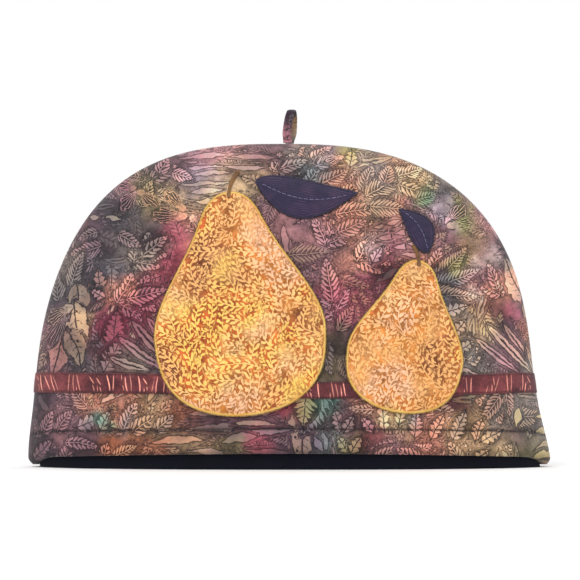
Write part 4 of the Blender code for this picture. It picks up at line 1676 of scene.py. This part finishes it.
def figure_height(tree, cloth, fatness, bluntness, stem_half, parting, uneven):
    """How far inside the nearest printed line a point lies, in millimetres."""
    leaflets, side, room = carried(tree, "run").parts()
    kind, period, clear = carried(tree, "form").parts()
    ahead, aside, wider = waver(cloth, UNEVEN_SIZE)
    leaflets = leaflets + ahead * (0.28 * uneven)
    away = abs(side + aside * (0.45 * uneven))
    room = (room * (wider * (0.2 * uneven) + 1)).at_least(0.01)
    share = away / room
    gap = abs(leaflets.math("FRACT") - 0.5) * 2
    half = period * 0.5
    teardrop = (share * share * (1 - share) * 6.75).at_least(0).math("POWER", bluntness)
    stem = stem_half - away
    fern = ((teardrop * fatness - gap) * half).at_least(stem.at_most(room - 0.6))
    body = room - away
    bark = body + (noise(cloth, BARK_SIZE, 2, 7) - 0.5) * (BARK_DEPTH * uneven)
    rib = (1 - gap) * half - RIB_LINE
    midrib = away - MIDRIB
    cut = room * (1 - leaflets.math("FRACT") * LOBE_CUT) - away
    ribbed = cut.at_most(rib.at_least(share * -4 + 0.5)).at_most(midrib)
    slot = room * leaflets.rises(0.08, 0.3) * (1 - leaflets.rises(0.7, 0.95)) * SLOT
    line = FAN_LINE - (1 - gap) * half
    rim = FAN_RIM - abs(body - 0.45)
    dots = cells(cloth, DOT_SPACING, 3) - DOT_RADIUS
    veined = rib.at_least(share * 3 - 1.6).at_most(away - DOTTED_MIDRIB)
    heights = {
        "plain": bark.at_most(body + 0.5),
        "stroke": body,
        "fern": fern,
        "ribbed": ribbed,
        "slotted": body.at_most(away - slot),
        "winged": line.at_least(rim).at_most(body),
        "spotted": bark.at_most(dots).at_most(veined),
        "vine": fern,
    }
    total = sum(height * kind.is_near(CODES[name]) for name, height in heights.items())
    return total.at_most(clear - parting)


def printed_cloth(name, leaflet, uneven, washed, outline, outline_reach, around=0.0):
    """A cotton with its printed figures.

    leaflet is how fat and how blunt their leaflets are, then half a stem's width and the
    least room between figures in millimetres. washed is how far the ground's dye runs
    into the figures, and around how much darker the ground is that each one stands on.
    """
    material, tree = new_material(name, 0.87, 0.15)
    cloth, dye, tint = (carried(tree, layer) for layer in ("cloth", "dye", "tint"))
    strength, shade, _ = carried(tree, "tone").parts()
    clear = carried(tree, "form").parts()[2]
    fine, places = noise(cloth, SPECK, 3), noise(cloth, PATCH, 3, 4)
    threads = noise(cloth, SLUB, 1, 9)
    height = figure_height(tree, cloth, *leaflet, uneven) + (fine - 0.5) * 0.6 * uneven
    inside = height.rises(-SOFT_OUT, SOFT_IN)
    edge = height.rises(-outline_reach, -0.1) * (1 - inside) * strength.rises(0, 0.5)
    own_ground = clear.rises(0, 1.5) * strength * around
    mottled = places.rises(0.3, 0.7) * 0.65 + fine.rises(0.25, 0.75) * 0.5 + threads * 0.5 + 0.2
    ground = scaled(dye, mottled * (1 - own_ground))
    ground = mix(edge * outline, ground, OUTLINE_COLOUR)
    drawn = mix(places.rises(0.35, 0.75) * washed, tint, scaled(dye, 1.4))
    drawn = scaled(drawn, fine * 0.6 + threads * 0.16 + 0.7)
    # shade is the painted shade that each point carries, from stitched creases, folds and rolled
    # edges.
    colour = scaled(mix(inside * strength * 0.96, ground, drawn), shade)
    return painted(material, colour, weave(cloth) * 0.6 + threads * 0.8, WEAVE_DEPTH)


def lining_cotton():
    material, tree = new_material("lining cotton", 0.92, 0.05, 0.12)
    spot = own_place(tree)
    fine = noise(spot, 0.6 * MM)
    colour = mix(noise(spot, 20 * MM, 3), linear("#0f1018"), linear("#161723"))
    return painted(material, scaled(colour, fine * 0.6 + 0.7), fine, LINING_DEPTH)


def navy_cotton():
    """Fine lines follow the leaf's edge, printed a shade lighter."""
    material, tree = new_material("navy print", 0.8, 0.2)
    cloth, inwards = carried(tree, "cloth"), carried(tree, "run").parts()[0]
    wander = inwards + (noise(cloth, 9, 2, 2) - 0.5) * NAVY_WANDER
    line = (wander * (2 * math.pi / NAVY_LINES)).math("SINE").rises(0.35, 0.95)
    places = noise(cloth, 11, 2, 6).rises(0.35, 0.7)
    ground = mix(places, linear("#241c38"), linear("#2f2340"))
    drawn = mix(places, linear("#4a3f66"), linear("#5a4058"))
    printed = mix(line * places * 0.6 + line * 0.15, ground, drawn)
    colour = scaled(printed, noise(cloth, 1.1, 3) * 0.5 + 0.75)
    return painted(material, colour, weave(cloth) * 0.5 + line * 0.7, WEAVE_DEPTH * 2)


def thread(name, low, high, shine):
    """Twisted cotton: short diagonal shades along the thread."""
    material, tree = new_material(name, 0.62, 0.25, shine)
    spot = own_place(tree)
    twist = noise(spot, 0.35 * MM, 1)
    shades = twist * 0.7 + noise(spot, 9 * MM, 2, 5) * 0.6 - 0.15
    colour = mix(shades.rises(0.2, 0.9), linear(low), linear(high))
    return painted(material, colour, twist, TWIST_DEPTH)


# The stage: a white floor, soft light from above and in front, and the camera.

FLOOR_REACH, FLOOR_WHITE = 6.0, 0.95
WORLD_LIGHT, SUN_LIGHT, SUN_ANGLE = 1.0, 0.9, 40
SUN_FROM = (-0.35, -0.75, 1.0)


def place(name, data, at, target):
    """Sets a light or a camera here, aimed there."""
    obj = bpy.data.objects.new(name, data)
    bpy.context.scene.collection.objects.link(obj)
    obj.location = at
    direction = Vector(target) - obj.location
    obj.rotation_euler = direction.to_track_quat("-Z", "Y").to_euler()
    return obj


def build_stage():
    scene = bpy.context.scene
    scene.view_settings.view_transform = "Standard"
    scene.world = bpy.data.worlds.new("studio")
    scene.world.use_nodes = True
    sky = scene.world.node_tree.nodes["Background"].inputs
    sky["Color"].default_value = (1, 1, 1, 1)
    sky["Strength"].default_value = WORLD_LIGHT
    corners = np.array([[-1, -1, 0], [1, -1, 0], [1, 1, 0], [-1, 1, 0]])
    floor = mesh_object("floor", corners * FLOOR_REACH, [[0, 1, 2, 3]])
    material, _ = new_material("floor white", 0.9, 0, 0)
    surface_of(material)["Base Color"].default_value = (*[FLOOR_WHITE] * 3, 1)
    floor.data.materials.append(material)
    sun = bpy.data.lights.new("key", "SUN")
    sun.energy, sun.angle = SUN_LIGHT, math.radians(SUN_ANGLE)
    place("key", sun, SUN_FROM, (0, 0, 0))
    lens = bpy.data.cameras.new("camera")
    lens.sensor_width, lens.lens = SENSOR, SENSOR * CAMERA_DISTANCE / FRAME_WIDTH
    at = (0, -CAMERA_DISTANCE, CAMERA_HEIGHT)
    scene.camera = place("camera", lens, at, (0, 0, AIM_HEIGHT))


def build():
    batik = printed_cloth(
        "batik cotton", leaflet=(0.8, 0.65, 0.4, 0.5), uneven=1.2, washed=0.4,
        outline=0.95, outline_reach=0.7, around=0.55,
    )
    gold = printed_cloth(
        "gold cotton", leaflet=(0.66, 0.4, 0.5, 0.05), uneven=1.4, washed=0.1,
        outline=0.5, outline_reach=0.4,
    )
    trim = printed_cloth(
        "trim cotton", leaflet=(0.6, 1.0, 0.3, 0.4), uneven=0.25, washed=0.2,
        outline=0.3, outline_reach=0.4,
    )
    lining, navy = lining_cotton(), navy_cotton()
    threads = {name: thread(name, *row) for name, row in THREAD_COLOURS.items()}
    for name, side in (("front", FRONT), ("back", BACK)):
        printed_panel(name, side, batik)
        lining_panel(name, side, lining)
    trim_band(trim)
    for name in PEARS:
        sewn_sheet(name, gold, PEAR_GRIDS[name], dress_in_gold)
    for name in LEAVES:
        sewn_sheet(name, navy, LEAF_GRID, dress_in_navy)
    sew_edges(PEARS, PEAR_ZIGZAG, 1.25 * THREAD, threads["gold thread"])
    sew_edges(LEAVES, LEAF_ZIGZAG, THREAD, threads["navy thread"])
    sew_stems(threads["stem thread"])
    sew_veins(threads["vein thread"])
    sew_hem("front", FRONT, threads["hem thread"])
    sew_hem("back", BACK, threads["hem thread"])
    sew_band(threads["band thread"])
    sew_seam(threads["hem thread"])
    crown_loop(batik)


build()
build_stage()
